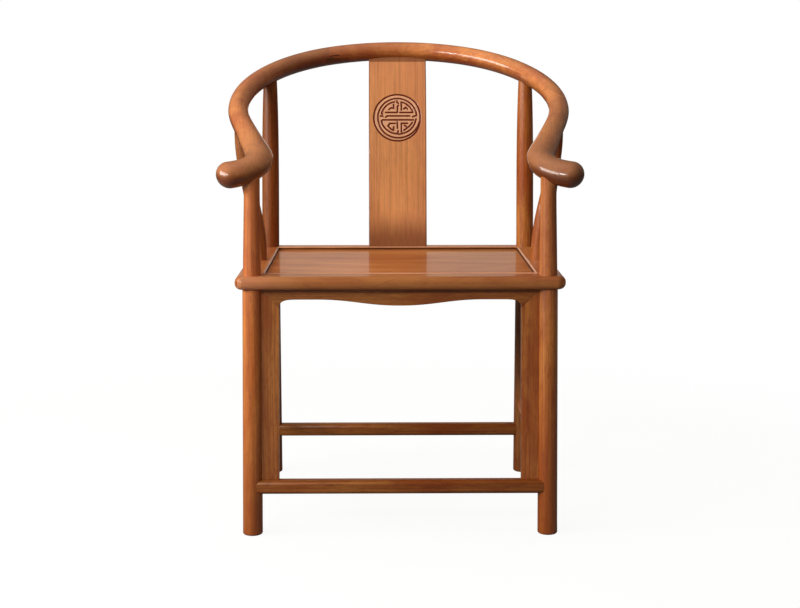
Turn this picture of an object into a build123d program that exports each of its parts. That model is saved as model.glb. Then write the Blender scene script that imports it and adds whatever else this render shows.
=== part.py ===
from build123d import *
import os
from math import ceil, cos, degrees, pi, radians, sin, sqrt, tan

# Horseshoe back armchair, in millimetres. +Z is up and the chair faces -Y.
# While it is being made, X = 0 is the middle of the chair, Y = 0 is the middle of the seat
# frame and Z = 0 is the floor. The last step moves it so that the origin is on the floor
# under the middle of its overall box. "Left" is -X.

# ---------------------------------------------------------------- driving dimensions
SEAT_WIDTH = 576.0            # seat frame, side to side
SEAT_DEPTH = 475.0            # seat frame, front to back
SEAT_HEIGHT = 467.5           # floor to the top of the seat frame
CREST_HEIGHT = 875.0          # floor to the top of the crest rail

FRAME_WIDTH = 49.5            # a seat frame member, seen from above
FRAME_THICKNESS = 23.3
FRAME_EDGE_RADIUS = 10.4      # rounded outer edge of the frame
FRAME_CORNER_RADIUS = 16.0    # rounded corner of the frame, seen from above
LIP_ROUND = 0.8               # softened inner edge of the frame

PANEL_RECESS = 4.0            # panel top below the frame top
PANEL_THICKNESS = 10.0
PANEL_TONGUE_THICKNESS = 4.5
PANEL_TONGUE_RELIEF = 0.5     # top of the tongue below the panel's top, clear of the frame's lip
PANEL_TONGUE = 7.0            # depth of the groove for the panel
PANEL_SHRINKAGE_GAP = 1.0     # room in the groove for the panel to swell

CORNER_TENON_THICKNESS = 8.0
CORNER_TENON_COVER = 4.0      # wood left outside a corner tenon
CORNER_TENON_REACH = 41.0     # furthest point of a corner tenon from the outer edge

BATTEN_WIDTH = 40.0
BATTEN_SPACING = 230.0        # between the centres of the two battens
BATTEN_DOVETAIL_DEPTH = 4.0
BATTEN_DOVETAIL_NECK = 26.0
BATTEN_DOVETAIL_HEAD = 30.0
BATTEN_TENON_LENGTH = 12.0
BATTEN_TENON_WIDTH = 26.0
BATTEN_TENON_THICKNESS = 5.0

LEG_INSET = 27.7              # leg centre in from the front or rear edge of the seat frame
FRONT_LEG_SIDE_INSET = 29.5   # the same from its side edges
REAR_LEG_SIDE_INSET = 31.7    # the rear legs stand a little further in
FRONT_SPLAY = 0.012           # sideways splay of the front legs, as a slope
REAR_SPLAY = 0.0              # the rear legs are upright
FOOT_RADIUS = 17.8
FOOT_ROUND = 3.5              # rounded bottom edge of a foot
FRONT_LEG_SHOULDER_RADIUS = 17.0
FRONT_POST_BASE_RADIUS = 16.1
FRONT_POST_TOP_RADIUS = 13.9
FRONT_POST_FLARE = 3.0        # outward growth of the post under the hand
FRONT_POST_FLARE_HEIGHT = 26.0
REAR_LEG_SHOULDER_RADIUS = 17.7
REAR_POST_BASE_RADIUS = 17.0
REAR_POST_TOP_RADIUS = 13.1
REAR_POST_TOP_HALF_SPACING = 253.4
REAR_POST_TAPER_POWER = 4     # the rear post keeps its girth and thins near the top
LEG_NECK_RELIEF = 0.5         # a rear leg is thinner by this inside the seat frame
POST_TENON_RADIUS = 8.5
POST_TENON_LENGTH = 9.0

SIDE_POST_INSET = 25.2        # foot of a side post in from the edge of the frame
SIDE_POST_BASE_RADIUS = 14.8
SIDE_POST_TOP_RADIUS = 11.0
SIDE_POST_BEND_START = 0.06   # shares of its height between which the sickle bend lies
SIDE_POST_BEND_END = 0.92
SIDE_POST_BASE_TENON_RADIUS = 8.0
SIDE_POST_BASE_TENON_LENGTH = 12.0
SIDE_POST_TOP_TENON_RADIUS = 5.5

# crest rail: its centre line lies in one plane that slopes down to the front
RAIL_SLOPE = 20.9             # degrees
RAIL_OVERHANG = 98.0          # centre line of the crest behind the seat frame
BACK_TURN = 20.2              # degrees turned by the back curve, on each side
SHOULDER_RADIUS = 267.0
SHOULDER_TURN = 27.5
FLANK_RADIUS = 292.0
FLANK_TURN = 58.0
BEND_RADIUS = 66.8            # the outward bend before the hand
BEND_TURN = 84.0
BEND_TURN_OVER_POST = 46.0    # part of that bend which is reached over the front post
BEND_SETBACK = 14.2           # centre line of the bend behind the front post
HAND_STRAIGHT = 4.5
HAND_CAP_LENGTH = 22.5        # rounded end beyond the straight of the hand
CREST_DIAMETER = 36.6
ARM_DIAMETER = 37.6
BEND_WIDTH = 50.5
BEND_THICKNESS = 42.0
HAND_WIDTH = 54.5
HAND_THICKNESS = 44.5

CENTRE_SCARF = 148.0          # along the rail from the middle of the crest to the first scarf
FLANK_SCARF = 435.0           # the same, to the second scarf
SCARF_LENGTH = 80.0
PEG_LENGTH_ALONG_RAIL = 16.0
PEG_THICKNESS = 6.0
PEG_TAPER = 2.0               # the peg is this much shorter along the rail at its far end
LAP_CUT_LENGTH = 1.4 * SCARF_LENGTH  # half of a scarf is cut away this far past its shoulder

SPLAT_WIDTH = 116.8
SPLAT_THICKNESS = 12.0
SPLAT_LOWER_HEIGHT = 148.5    # height of the lower curve, which is hollow to the rear
SPLAT_FOOT_LEAN = 20.0        # degrees back from upright
SPLAT_WAIST_LEAN = 8.0
SPLAT_FOOT_INSET = 25.7       # foot of the splat in from the rear edge of the frame
SPLAT_TONGUE_THICKNESS = 6.0
SPLAT_TONGUE_DEPTH = 10.0
SPLAT_TONGUE_SHOULDER = 8.0   # a tongue is this much narrower at each side
MEDALLION_HEIGHT = 257.0      # centre of the medallion above the seat frame
MEDALLION_RADIUS = 48.0
MEDALLION_BAND = 7.0          # raised ring between the two round grooves
MEDALLION_GROOVE = 2.2
MEDALLION_DEPTH = 1.5
FRET_RADIUS = 32.0
FRET_BAR_SPACING = 7.5
FRET_HOOK = 12.0

APRON_THICKNESS = 12.0
APRON_TONGUE_THICKNESS = 4.0
APRON_TONGUE_DEPTH = 5.0
FRONT_APRON_MIDDLE = 30.2     # drop of the front apron below the frame, in the middle
FRONT_APRON_CREST = 19.3      # the same, where its edge rises highest
FRONT_APRON_CREST_START = 145.5
FRONT_APRON_CREST_END = 176.0
FRONT_APRON_CORNER_DROP = 34.2
STRIP_WIDTH = 47.5            # inner edge of an upright strip from the leg's centre line
STRIP_TONGUE_THICKNESS = 5.0
STRIP_TONGUE_DEPTH = 4.0
STRIP_STUB = 5.0              # stub tenon of a strip in the foot stretcher
STRIP_STUB_WIDTH = 16.0
PLAIN_APRON_DEPTH = 32.0
PLAIN_APRON_END_DROP = 10.0   # the ends of a plain apron hang this much lower
PLAIN_APRON_END_LENGTH = 26.0

FRONT_STRETCHER_TOP = 101.0
REAR_STRETCHER_TOP = 101.0
SIDE_STRETCHER_TOP = 154.0
STRETCHER_HEIGHT = 24.8
STRETCHER_DEPTH = 24.0
SIDE_STRETCHER_WIDTH = 22.0
STRETCHER_ROUND = 7.0
FRONT_STRETCHER_SETBACK = 1.6  # its front face behind the front of the legs
STRETCHER_TENON_LENGTH = 14.0  # past the leg's centre line it would be seen outside
STRETCHER_TENON_HEIGHT = 15.0
STRETCHER_TENON_THICKNESS = 8.0

JOINT_GAP = 0.2               # all round a tenon in its mortise
SCRIBE_GAP = 0.15             # where one piece is cut to fit round another
MORTISE_END_GAP = 0.5         # beyond the end of a tenon

# ---------------------------------------------------------------- how the shapes are worked
SECTION_TURN = 8.0            # most degrees of bend between two sections of the rail
SECTION_SPACING = 45.0        # most length between them on a straight run
SECTION_SPACING_LEAST = 12.0   # a shorter end of a curve gets no section of its own
POST_SECTIONS = 8             # steps between the foot and the top of a post
FLARE_SECTIONS = 4
SEARCH_STEPS = 40             # halvings when a place on a curve is looked for
TRIM_LENGTH = 20.0            # extra length of a leg before it is cut level
INTO_RAIL = 0.25              # share of the rail's thickness a post enters before it is cut to fit
NEAR = 1.0                    # an edge this near to a line is taken to lie on it
CARVING_SPARE = 1.0           # the carving starts this far in front of the splat
SWELL_PULL = 0.42             # how far the ends of the apron's swelling stay level
CORNER_PULL = 0.62            # the same for the rounded corner of the apron

# ---------------------------------------------------------------- worked-out places
FRAME_UNDERSIDE = SEAT_HEIGHT - FRAME_THICKNESS
PANEL_TOP = SEAT_HEIGHT - PANEL_RECESS
PANEL_UNDERSIDE = PANEL_TOP - PANEL_THICKNESS
TONGUE_TOP = PANEL_TOP - PANEL_TONGUE_RELIEF
TONGUE_UNDERSIDE = TONGUE_TOP - PANEL_TONGUE_THICKNESS
REAR_NECK_RADIUS = REAR_POST_BASE_RADIUS - LEG_NECK_RELIEF
FRONT_LEG_X = SEAT_WIDTH / 2 - FRONT_LEG_SIDE_INSET
REAR_LEG_X = SEAT_WIDTH / 2 - REAR_LEG_SIDE_INSET
FRONT_LEG_Y = -SEAT_DEPTH / 2 + LEG_INSET
REAR_LEG_Y = SEAT_DEPTH / 2 - LEG_INSET
SIDE_POST_X = SEAT_WIDTH / 2 - SIDE_POST_INSET
SPLAT_FOOT_Y = SEAT_DEPTH / 2 - SPLAT_FOOT_INSET
CREST_Y = SEAT_DEPTH / 2 + RAIL_OVERHANG
CREST_Z = CREST_HEIGHT - CREST_DIAMETER / 2
LARGE = 2 * (SEAT_WIDTH + SEAT_DEPTH + CREST_HEIGHT)  # bigger than the chair, for cutting


# ---------------------------------------------------------------- small helpers
def block(low, high):
    """A box given by its lowest and highest corners."""
    size = [top - bottom for bottom, top in zip(low, high)]
    return Pos(*low) * Box(*size, align=(Align.MIN, Align.MIN, Align.MIN))


def above(height):
    """All the space over a height."""
    return Pos(0, 0, height + LARGE / 2) * Box(LARGE, LARGE, LARGE)


def below(height):
    """All the space under a height."""
    return Pos(0, 0, height - LARGE / 2) * Box(LARGE, LARGE, LARGE)


def to_left(piece):
    """The left-hand twin of a right-hand piece."""
    return mirror(piece, about=Plane.YZ)


def ease(share):
    """A smooth step from 0 to 1, level at both ends."""
    share = min(max(share, 0.0), 1.0)
    return (1 - cos(pi * share)) / 2


def mix(first, last, share):
    return first + (last - first) * share


def shares(count):
    """Evenly spaced shares from 0 to 1."""
    steps = round(count)
    return [step / steps for step in range(steps + 1)]


# ---------------------------------------------------------------- crest rail centre line
def rail_frame():
    """The sloping plane of the rail: its origin is the middle of the crest, its y runs back."""
    slope = radians(RAIL_SLOPE)
    return Plane(origin=(0, CREST_Y, CREST_Z), x_dir=(1, 0, 0), z_dir=(0, -sin(slope), cos(slope)))


def front_leg_x(height):
    """Distance of a front leg's centre line from the middle, at a height."""
    return FRONT_LEG_X + FRONT_SPLAY * (SEAT_HEIGHT - height)


def fitted_rail():
    """Radius of the back curve and length of the straight arm which bring the outward bend
    over the front post."""
    back, shoulder = radians(BACK_TURN), radians(BACK_TURN + SHOULDER_TURN)
    arm = radians(BACK_TURN + SHOULDER_TURN + FLANK_TURN)
    over_post = arm - radians(BEND_TURN_OVER_POST)
    run_back = FRONT_LEG_Y + BEND_SETBACK - CREST_Y
    goal_y = run_back / cos(radians(RAIL_SLOPE))
    post_height = CREST_Z + run_back * tan(radians(RAIL_SLOPE)) - BEND_THICKNESS / 2
    goal_x = front_leg_x(post_height)
    fixed_x = SHOULDER_RADIUS * (sin(shoulder) - sin(back))
    fixed_x += FLANK_RADIUS * (sin(arm) - sin(shoulder))
    fixed_x += BEND_RADIUS * (sin(arm) - sin(over_post))
    fixed_y = SHOULDER_RADIUS * (cos(shoulder) - cos(back))
    fixed_y += FLANK_RADIUS * (cos(arm) - cos(shoulder))
    fixed_y -= BEND_RADIUS * (cos(over_post) - cos(arm))
    rest_x, rest_y = goal_x - fixed_x, goal_y - fixed_y
    # back_radius * sin(back) + straight * cos(arm) = rest_x
    # back_radius * (cos(back) - 1) - straight * sin(arm) = rest_y
    divisor = -sin(back) * sin(arm) - cos(arm) * (cos(back) - 1)
    back_radius = (-rest_x * sin(arm) - rest_y * cos(arm)) / divisor
    straight = (sin(back) * rest_y - (cos(back) - 1) * rest_x) / divisor
    return back_radius, straight


BACK_RADIUS, ARM_STRAIGHT = fitted_rail()


def rail_curves():
    """The right half of the centre line, flat in the rail's plane, from the crest to the hand."""
    back = JernArc((0, 0), (1, 0), BACK_RADIUS, -BACK_TURN)
    shoulder = JernArc(back @ 1, back % 1, SHOULDER_RADIUS, -SHOULDER_TURN)
    flank = JernArc(shoulder @ 1, shoulder % 1, FLANK_RADIUS, -FLANK_TURN)
    arm = Line(flank @ 1, flank @ 1 + ARM_STRAIGHT * (flank % 1))
    bend = JernArc(arm @ 1, arm % 1, BEND_RADIUS, BEND_TURN)
    hand = Line(bend @ 1, bend @ 1 + HAND_STRAIGHT * (bend % 1))
    return [back, shoulder, flank, arm, bend, hand]


RAIL_CURVES = rail_curves()
RAIL_KNOTS = [0.0]
for curve in RAIL_CURVES:
    RAIL_KNOTS.append(RAIL_KNOTS[-1] + curve.length)
SHOULDER_START, FLANK_START, ARM_START, BEND_START, HAND_START, RAIL_END = RAIL_KNOTS[1:]


def rail_point(distance):
    """Point and direction of the centre line in its plane. A negative distance is on the left."""
    reach = min(abs(distance), RAIL_END)
    index = 0
    while index < len(RAIL_CURVES) - 1 and reach > RAIL_KNOTS[index + 1]:
        index += 1
    curve = RAIL_CURVES[index]
    share = (reach - RAIL_KNOTS[index]) / curve.length
    point, direction = curve @ share, curve % share
    if distance < 0:
        return Vector(-point.X, point.Y), Vector(direction.X, -direction.Y)
    return point, direction


def rail_size(distance):
    """Width across and thickness of the rail at a distance from the middle of the crest."""
    bend_middle = (BEND_START + HAND_START) / 2
    places = [FLANK_START, ARM_START, bend_middle, RAIL_END]
    widths = [CREST_DIAMETER, ARM_DIAMETER, BEND_WIDTH, HAND_WIDTH]
    thicknesses = [CREST_DIAMETER, ARM_DIAMETER, BEND_THICKNESS, HAND_THICKNESS]
    reach = min(max(abs(distance), FLANK_START), RAIL_END)
    index = 0
    while index < len(places) - 2 and reach > places[index + 1]:
        index += 1
    share = ease((reach - places[index]) / (places[index + 1] - places[index]))
    width = mix(widths[index], widths[index + 1], share)
    return width, mix(thicknesses[index], thicknesses[index + 1], share)


def rail_station(distance):
    """The plane square to the rail: x across it, y upwards, z along it to the right hand."""
    point, direction = rail_point(distance)
    return Plane(origin=point, x_dir=(direction.Y, -direction.X, 0), z_dir=direction)


def rail_stations(start, end):
    """Distances at which the rail is given a section: evenly spaced along each of its curves, and
    closer together in the tight bend."""
    marks = [-knot for knot in reversed(RAIL_KNOTS[1:])] + RAIL_KNOTS
    curves = RAIL_CURVES[::-1] + RAIL_CURVES
    stations = [start]
    for curve, low, high in zip(curves, marks[:-1], marks[1:]):
        low, high = max(low, start), min(high, end)
        if high - low < SECTION_SPACING_LEAST:
            continue
        first = stations[-1]
        turn = degrees((high - first) / curve.radius) if curve.geom_type == GeomType.CIRCLE else 0.0
        count = max(ceil(turn / SECTION_TURN), ceil((high - first) / SECTION_SPACING))
        stations += [mix(first, high, share) for share in shares(count)[1:]]
    stations[-1] = end
    return stations


def rail_length(start, end, growth=0.0):
    """A length of the rail, in its own flat plane."""
    sections = []
    for distance in rail_stations(start, end):
        width, thickness = rail_size(distance)
        sections.append(rail_station(distance) * Ellipse(width / 2 + growth, thickness / 2 + growth))
    return loft(sections)


def hand_cap(growth=0.0):
    """The rounded end of the right hand."""
    half_size = (HAND_WIDTH / 2 + growth, HAND_THICKNESS / 2 + growth, HAND_CAP_LENGTH + growth)
    ball = scale(Sphere(1), by=half_size)
    front_half = ball & Box(LARGE, LARGE, LARGE, align=(Align.CENTER, Align.CENTER, Align.MIN))
    return rail_station(RAIL_END).location * front_half


def find_on_rail(wanted, measure, low, high):
    """The distance along the right half at which a measure of the world point is as wanted."""
    frame = rail_frame()
    rising = measure(frame.from_local_coords(rail_point(high)[0])) > wanted
    for _ in shares(SEARCH_STEPS):
        middle = (low + high) / 2
        over = measure(frame.from_local_coords(rail_point(middle)[0])) > wanted
        if over == rising:
            high = middle
        else:
            low = middle
    return low


def in_world(piece):
    return rail_frame().location * piece


# ---------------------------------------------------------------- crest rail pieces
def lap_cut(shoulder, towards_right, upper):
    """The space cut away for half of a scarf: from a shoulder onwards, above or below."""
    along = Align.MIN if towards_right else Align.MAX
    side = Align.MIN if upper else Align.MAX
    room = 2 * CREST_DIAMETER
    half_space = Box(room, room, LAP_CUT_LENGTH, align=(Align.CENTER, side, along))
    return rail_station(shoulder).location * half_space


def scarf_peg(joint, gap=0.0):
    """A flat wedge driven across the rail through the middle of a scarf."""
    room = 2 * CREST_DIAMETER
    wide = Rectangle(PEG_THICKNESS + 2 * gap, PEG_LENGTH_ALONG_RAIL + 2 * gap)
    narrow = Rectangle(PEG_THICKNESS + 2 * gap, PEG_LENGTH_ALONG_RAIL - PEG_TAPER + 2 * gap)
    station = rail_station(joint)
    across = Plane(origin=station.origin, x_dir=station.y_dir, z_dir=station.x_dir)
    return loft([across.offset(-room / 2) * narrow, across.offset(room / 2) * wide])


def make_crest_centre():
    piece = rail_length(-CENTRE_SCARF - SCARF_LENGTH / 2, CENTRE_SCARF + SCARF_LENGTH / 2)
    piece -= lap_cut(CENTRE_SCARF - SCARF_LENGTH / 2, True, True)
    piece -= lap_cut(-CENTRE_SCARF + SCARF_LENGTH / 2, False, True)
    piece -= scarf_peg(CENTRE_SCARF, JOINT_GAP)
    piece -= scarf_peg(-CENTRE_SCARF, JOINT_GAP)
    return in_world(piece)


def make_crest_shoulder():
    piece = rail_length(CENTRE_SCARF - SCARF_LENGTH / 2, FLANK_SCARF + SCARF_LENGTH / 2)
    piece -= lap_cut(CENTRE_SCARF + SCARF_LENGTH / 2, False, False)
    piece -= lap_cut(FLANK_SCARF - SCARF_LENGTH / 2, True, True)
    piece -= scarf_peg(CENTRE_SCARF, JOINT_GAP)
    piece -= scarf_peg(FLANK_SCARF, JOINT_GAP)
    return in_world(piece)


def make_arm():
    piece = rail_length(FLANK_SCARF - SCARF_LENGTH / 2, RAIL_END)
    piece += hand_cap()
    piece -= lap_cut(FLANK_SCARF + SCARF_LENGTH / 2, False, False)
    piece -= scarf_peg(FLANK_SCARF, JOINT_GAP)
    return in_world(piece)


def make_scarf_pegs():
    pegs = []
    for joint in (CENTRE_SCARF, FLANK_SCARF):
        trimmed = scarf_peg(joint) & rail_length(joint - SCARF_LENGTH / 2, joint + SCARF_LENGTH / 2)
        pegs += [in_world(trimmed), to_left(in_world(trimmed))]
    return pegs


def rail_body(growth=0.0):
    """The whole right half of the rail, to cut what stands under it."""
    return in_world(rail_length(-SPLAT_WIDTH, RAIL_END, growth))


# ---------------------------------------------------------------- legs with their posts
def leg_line(x, y, splay):
    """The plane across a leg where it meets the floor, with z up along the leg."""
    return Plane(origin=(x + splay * SEAT_HEIGHT, y, 0), x_dir=(1, 0, splay), z_dir=(-splay, 0, 1))


FRONT_LEG_LINE = leg_line(FRONT_LEG_X, FRONT_LEG_Y, FRONT_SPLAY)
REAR_LEG_LINE = leg_line(REAR_LEG_X, REAR_LEG_Y, REAR_SPLAY)


def turned(rings):
    """A round piece about the Z axis whose sides run straight from ring to ring."""
    points = [(0, rings[0][0])] + [(radius, height) for height, radius in rings] + [(0, rings[-1][0])]
    return revolve(Plane.XZ * Polygon(*points, align=None), Axis.Z)


def leg_cone(line, foot, top, growth=0.0):
    """A leg from under the floor to above the frame's underside, before it is trimmed."""
    slope = (foot - top) / FRAME_UNDERSIDE
    low = (-TRIM_LENGTH, foot + slope * TRIM_LENGTH + growth)
    high = (FRAME_UNDERSIDE + TRIM_LENGTH, top - slope * TRIM_LENGTH + growth)
    return line.location * turned([low, high])


def front_leg_cone(growth=0.0):
    return leg_cone(FRONT_LEG_LINE, FOOT_RADIUS, FRONT_LEG_SHOULDER_RADIUS, growth)


def rear_leg_cone(growth=0.0):
    return leg_cone(REAR_LEG_LINE, FOOT_RADIUS, REAR_LEG_SHOULDER_RADIUS, growth)


def lower_leg(cone):
    """A leg cut level at the floor and at the shoulder which carries the seat frame."""
    leg = cone & above(0) & below(FRAME_UNDERSIDE)
    return fillet(leg.edges().sort_by(Axis.Z)[0], FOOT_ROUND)


def leg_hole(line, radius):
    """The hole through the seat frame for a leg."""
    hole = Cylinder(radius + JOINT_GAP, 4 * FRAME_THICKNESS)
    return line.offset(SEAT_HEIGHT).location * hole


def front_leg_hole():
    return leg_hole(FRONT_LEG_LINE, FRONT_POST_BASE_RADIUS)


def rear_leg_hole():
    return leg_hole(REAR_LEG_LINE, REAR_NECK_RADIUS)


def rail_height_over(y):
    """Height of the rail's centre line at a place from front to back."""
    return CREST_Z + (y - CREST_Y) * tan(radians(RAIL_SLOPE))


def front_post_top():
    """Height of the underside of the bend over the front post."""
    return rail_height_over(FRONT_LEG_Y + BEND_SETBACK / 2) - BEND_THICKNESS / 2


def front_post():
    """Straight tapering post that swells outwards just under the hand."""
    top = front_post_top()
    flare_start = top - FRONT_POST_FLARE_HEIGHT
    straight = turned([
        (FRAME_UNDERSIDE - FRAME_THICKNESS, FRONT_POST_BASE_RADIUS),
        (SEAT_HEIGHT, FRONT_POST_BASE_RADIUS),
        (flare_start, FRONT_POST_TOP_RADIUS),
    ])
    rings = []
    for share in shares(FLARE_SECTIONS):
        out = FRONT_POST_FLARE * share**2
        circle = Circle(FRONT_POST_TOP_RADIUS + out)
        height = mix(flare_start, top + BEND_THICKNESS * INTO_RAIL, share)
        rings.append(Pos(out, 0, height) * circle)
    return FRONT_LEG_LINE.location * (straight + loft(rings))


def front_post_tenon(gap=0.0, end_gap=0.0):
    top = front_post_top()
    length = POST_TENON_LENGTH + BEND_THICKNESS * INTO_RAIL + end_gap
    return FRONT_LEG_LINE.offset(top).location * Cylinder(
        POST_TENON_RADIUS + gap, length, align=(Align.CENTER, Align.CENTER, Align.MIN)
    )


def rear_post_line():
    """The plane at the foot of a rear post, with z up along the post to the rail."""
    meeting = find_on_rail(REAR_POST_TOP_HALF_SPACING, lambda p: p.X, 0, FLANK_START + SHOULDER_RADIUS)
    top = rail_frame().from_local_coords(rail_point(meeting)[0])
    foot = Vector(REAR_LEG_X, REAR_LEG_Y, SEAT_HEIGHT)
    return Plane(origin=foot, x_dir=(1, 0, 0), z_dir=top - foot), (top - foot).length


def rear_post():
    """A post that leans back to the rail, thinning near its top."""
    line, length = rear_post_line()
    reach = length - CREST_DIAMETER * INTO_RAIL
    rings = [line.offset(-FRAME_THICKNESS / 2) * Circle(REAR_POST_BASE_RADIUS)]
    for share in shares(POST_SECTIONS):
        radius = mix(REAR_POST_BASE_RADIUS, REAR_POST_TOP_RADIUS, share**REAR_POST_TAPER_POWER)
        rings.append(line.offset(share * reach) * Circle(radius))
    return loft(rings) & above(SEAT_HEIGHT)


def rear_post_tenon(gap=0.0, end_gap=0.0):
    line, length = rear_post_line()
    start = length - CREST_DIAMETER / 2 - POST_TENON_LENGTH
    return line.offset(start).location * Cylinder(
        POST_TENON_RADIUS + gap,
        2 * POST_TENON_LENGTH + end_gap,
        align=(Align.CENTER, Align.CENTER, Align.MIN),
    )


def make_front_leg(rail, strip, stretchers):
    leg = lower_leg(front_leg_cone())
    post = front_post() & above(FRAME_UNDERSIDE)
    leg = leg + (post - rail) + front_post_tenon()
    return leg - strip - stretchers


def make_rear_leg(rail, aprons, stretchers):
    neck = REAR_LEG_LINE.offset(SEAT_HEIGHT).location * Cylinder(REAR_NECK_RADIUS, LARGE)
    leg = lower_leg(rear_leg_cone()) + (neck & above(FRAME_UNDERSIDE) & below(SEAT_HEIGHT))
    leg = leg + (rear_post() - rail) + rear_post_tenon()
    return leg - aprons - stretchers


# ---------------------------------------------------------------- side posts
def side_post_path(height):
    """Centre of a side post at a height: it bows outwards and ends upright under the arm."""
    top = side_post_meeting()
    share = (height - SEAT_HEIGHT) / (top.Z - SEAT_HEIGHT)
    bent = ease((share - SIDE_POST_BEND_START) / (SIDE_POST_BEND_END - SIDE_POST_BEND_START))
    return Vector(mix(SIDE_POST_X, top.X, bent), 0, height)


def side_post_meeting():
    """Where the centre line of the arm passes over the side post, half way along the seat."""
    meeting = find_on_rail(0.0, lambda p: p.Y, FLANK_START, BEND_START)
    return rail_frame().from_local_coords(rail_point(meeting)[0])


def side_post_tenons(gap=0.0, end_gap=0.0):
    """Round tenons at the foot and at the top of a side post."""
    top = side_post_meeting()
    foot = Pos(SIDE_POST_X, 0, SEAT_HEIGHT - SIDE_POST_BASE_TENON_LENGTH - end_gap) * Cylinder(
        SIDE_POST_BASE_TENON_RADIUS + gap,
        SIDE_POST_BASE_TENON_LENGTH + end_gap,
        align=(Align.CENTER, Align.CENTER, Align.MIN),
    )
    head = Pos(top.X, 0, top.Z - ARM_DIAMETER / 2 - POST_TENON_LENGTH) * Cylinder(
        SIDE_POST_TOP_TENON_RADIUS + gap,
        2 * POST_TENON_LENGTH + end_gap,
        align=(Align.CENTER, Align.CENTER, Align.MIN),
    )
    return foot, head


def make_side_post(rail):
    top = side_post_meeting()
    rings = []
    for share in shares(POST_SECTIONS):
        height = mix(SEAT_HEIGHT, top.Z - ARM_DIAMETER * INTO_RAIL, share)
        radius = mix(SIDE_POST_BASE_RADIUS, SIDE_POST_TOP_RADIUS, share)
        rings.append(Pos(*side_post_path(height)) * Circle(radius))
    foot, head = side_post_tenons()
    return (loft(rings) - rail) + foot + head


# ---------------------------------------------------------------- seat frame and panel
def frame_ring():
    """The seat frame as one ring, before it is divided at its mitres."""
    ring = Pos(0, 0, FRAME_UNDERSIDE) * Box(
        SEAT_WIDTH, SEAT_DEPTH, FRAME_THICKNESS, align=(Align.CENTER, Align.CENTER, Align.MIN)
    )
    ring = fillet(ring.edges().filter_by(Axis.Z), FRAME_CORNER_RADIUS)
    levels = ring.edges().group_by(Axis.Z)
    ring = fillet(levels[0] + levels[-1], FRAME_EDGE_RADIUS)
    inner = (SEAT_WIDTH / 2 - FRAME_WIDTH, SEAT_DEPTH / 2 - FRAME_WIDTH)
    ring -= block((-inner[0], -inner[1], 0), (inner[0], inner[1], CREST_HEIGHT))
    lip = [
        edge
        for edge in ring.edges().group_by(Axis.Z)[-1]
        if abs(edge.center().X) < inner[0] + NEAR and abs(edge.center().Y) < inner[1] + NEAR
    ]
    ring = fillet(lip, LIP_ROUND)
    groove = (inner[0] + PANEL_TONGUE, inner[1] + PANEL_TONGUE)
    groove_low = (-groove[0], -groove[1], TONGUE_UNDERSIDE)
    return ring - block(groove_low, (groove[0], groove[1], TONGUE_TOP + JOINT_GAP))


def mitred(ring, corner, inner_corner, other_inner, other_corner):
    """The member of the ring between two of its mitre lines."""
    wedge = Polygon(corner, inner_corner, other_inner, other_corner, align=None)
    return ring & extrude(wedge, CREST_HEIGHT, both=True)


def corner_tenon(gap=0.0):
    """Tenon in the right front corner: it stands on the mitre of the front rail."""
    near, far = CORNER_TENON_COVER - gap, CORNER_TENON_REACH + gap
    outline = Polygon((-near, near), (-far, far), (-near, far), align=None)
    middle = FRAME_UNDERSIDE + FRAME_THICKNESS / 2
    corner = Pos(SEAT_WIDTH / 2, -SEAT_DEPTH / 2, middle)
    return corner * extrude(outline, CORNER_TENON_THICKNESS / 2 + gap, both=True)


def pair_across(piece):
    """A piece with its mirror image on the other side of the chair."""
    return [piece, mirror(piece, about=Plane.YZ)]


def pair_front_rear(piece):
    """A piece with its mirror image at the other end of the seat."""
    return [piece, mirror(piece, about=Plane.XZ)]


def frame_corners():
    half_width, half_depth = SEAT_WIDTH / 2, SEAT_DEPTH / 2
    return (half_width, half_depth), (half_width - FRAME_WIDTH, half_depth - FRAME_WIDTH)


def make_seat_rail_front(ring, cuts):
    (x, y), (inner_x, inner_y) = frame_corners()
    member = mitred(ring, (-x, -y), (x, -y), (inner_x, -inner_y), (-inner_x, -inner_y))
    return member + pair_across(corner_tenon()) - cuts


def make_seat_rail_rear(ring, cuts):
    (x, y), (inner_x, inner_y) = frame_corners()
    member = mitred(ring, (-x, y), (x, y), (inner_x, inner_y), (-inner_x, inner_y))
    return member + pair_across(mirror(corner_tenon(), about=Plane.XZ)) - cuts


def make_seat_rail_right(ring, cuts):
    (x, y), (inner_x, inner_y) = frame_corners()
    member = mitred(ring, (x, -y), (x, y), (inner_x, inner_y), (inner_x, -inner_y))
    return member - pair_front_rear(corner_tenon(JOINT_GAP)) - cuts


def batten_dovetail(gap=0.0):
    """The dovetail along the top of the right batten, which slides into the panel."""
    neck, head = BATTEN_DOVETAIL_NECK / 2 + gap, BATTEN_DOVETAIL_HEAD / 2 + gap
    top = PANEL_UNDERSIDE + BATTEN_DOVETAIL_DEPTH + gap
    outline = Polygon(
        (-neck, PANEL_UNDERSIDE), (neck, PANEL_UNDERSIDE), (head, top), (-head, top), align=None
    )
    length = SEAT_DEPTH / 2 - FRAME_WIDTH + gap
    return Pos(BATTEN_SPACING / 2, 0, 0) * extrude(Plane.XZ * outline, length, both=True)


def batten_tenons(gap=0.0, end_gap=0.0):
    """The tenons of the right batten, in the front and rear rails."""
    middle = (FRAME_UNDERSIDE + PANEL_UNDERSIDE) / 2
    length = SEAT_DEPTH - 2 * FRAME_WIDTH + 2 * (BATTEN_TENON_LENGTH + end_gap)
    return Pos(BATTEN_SPACING / 2, 0, middle) * Box(
        BATTEN_TENON_WIDTH + 2 * gap, length, BATTEN_TENON_THICKNESS + 2 * gap
    )


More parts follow.
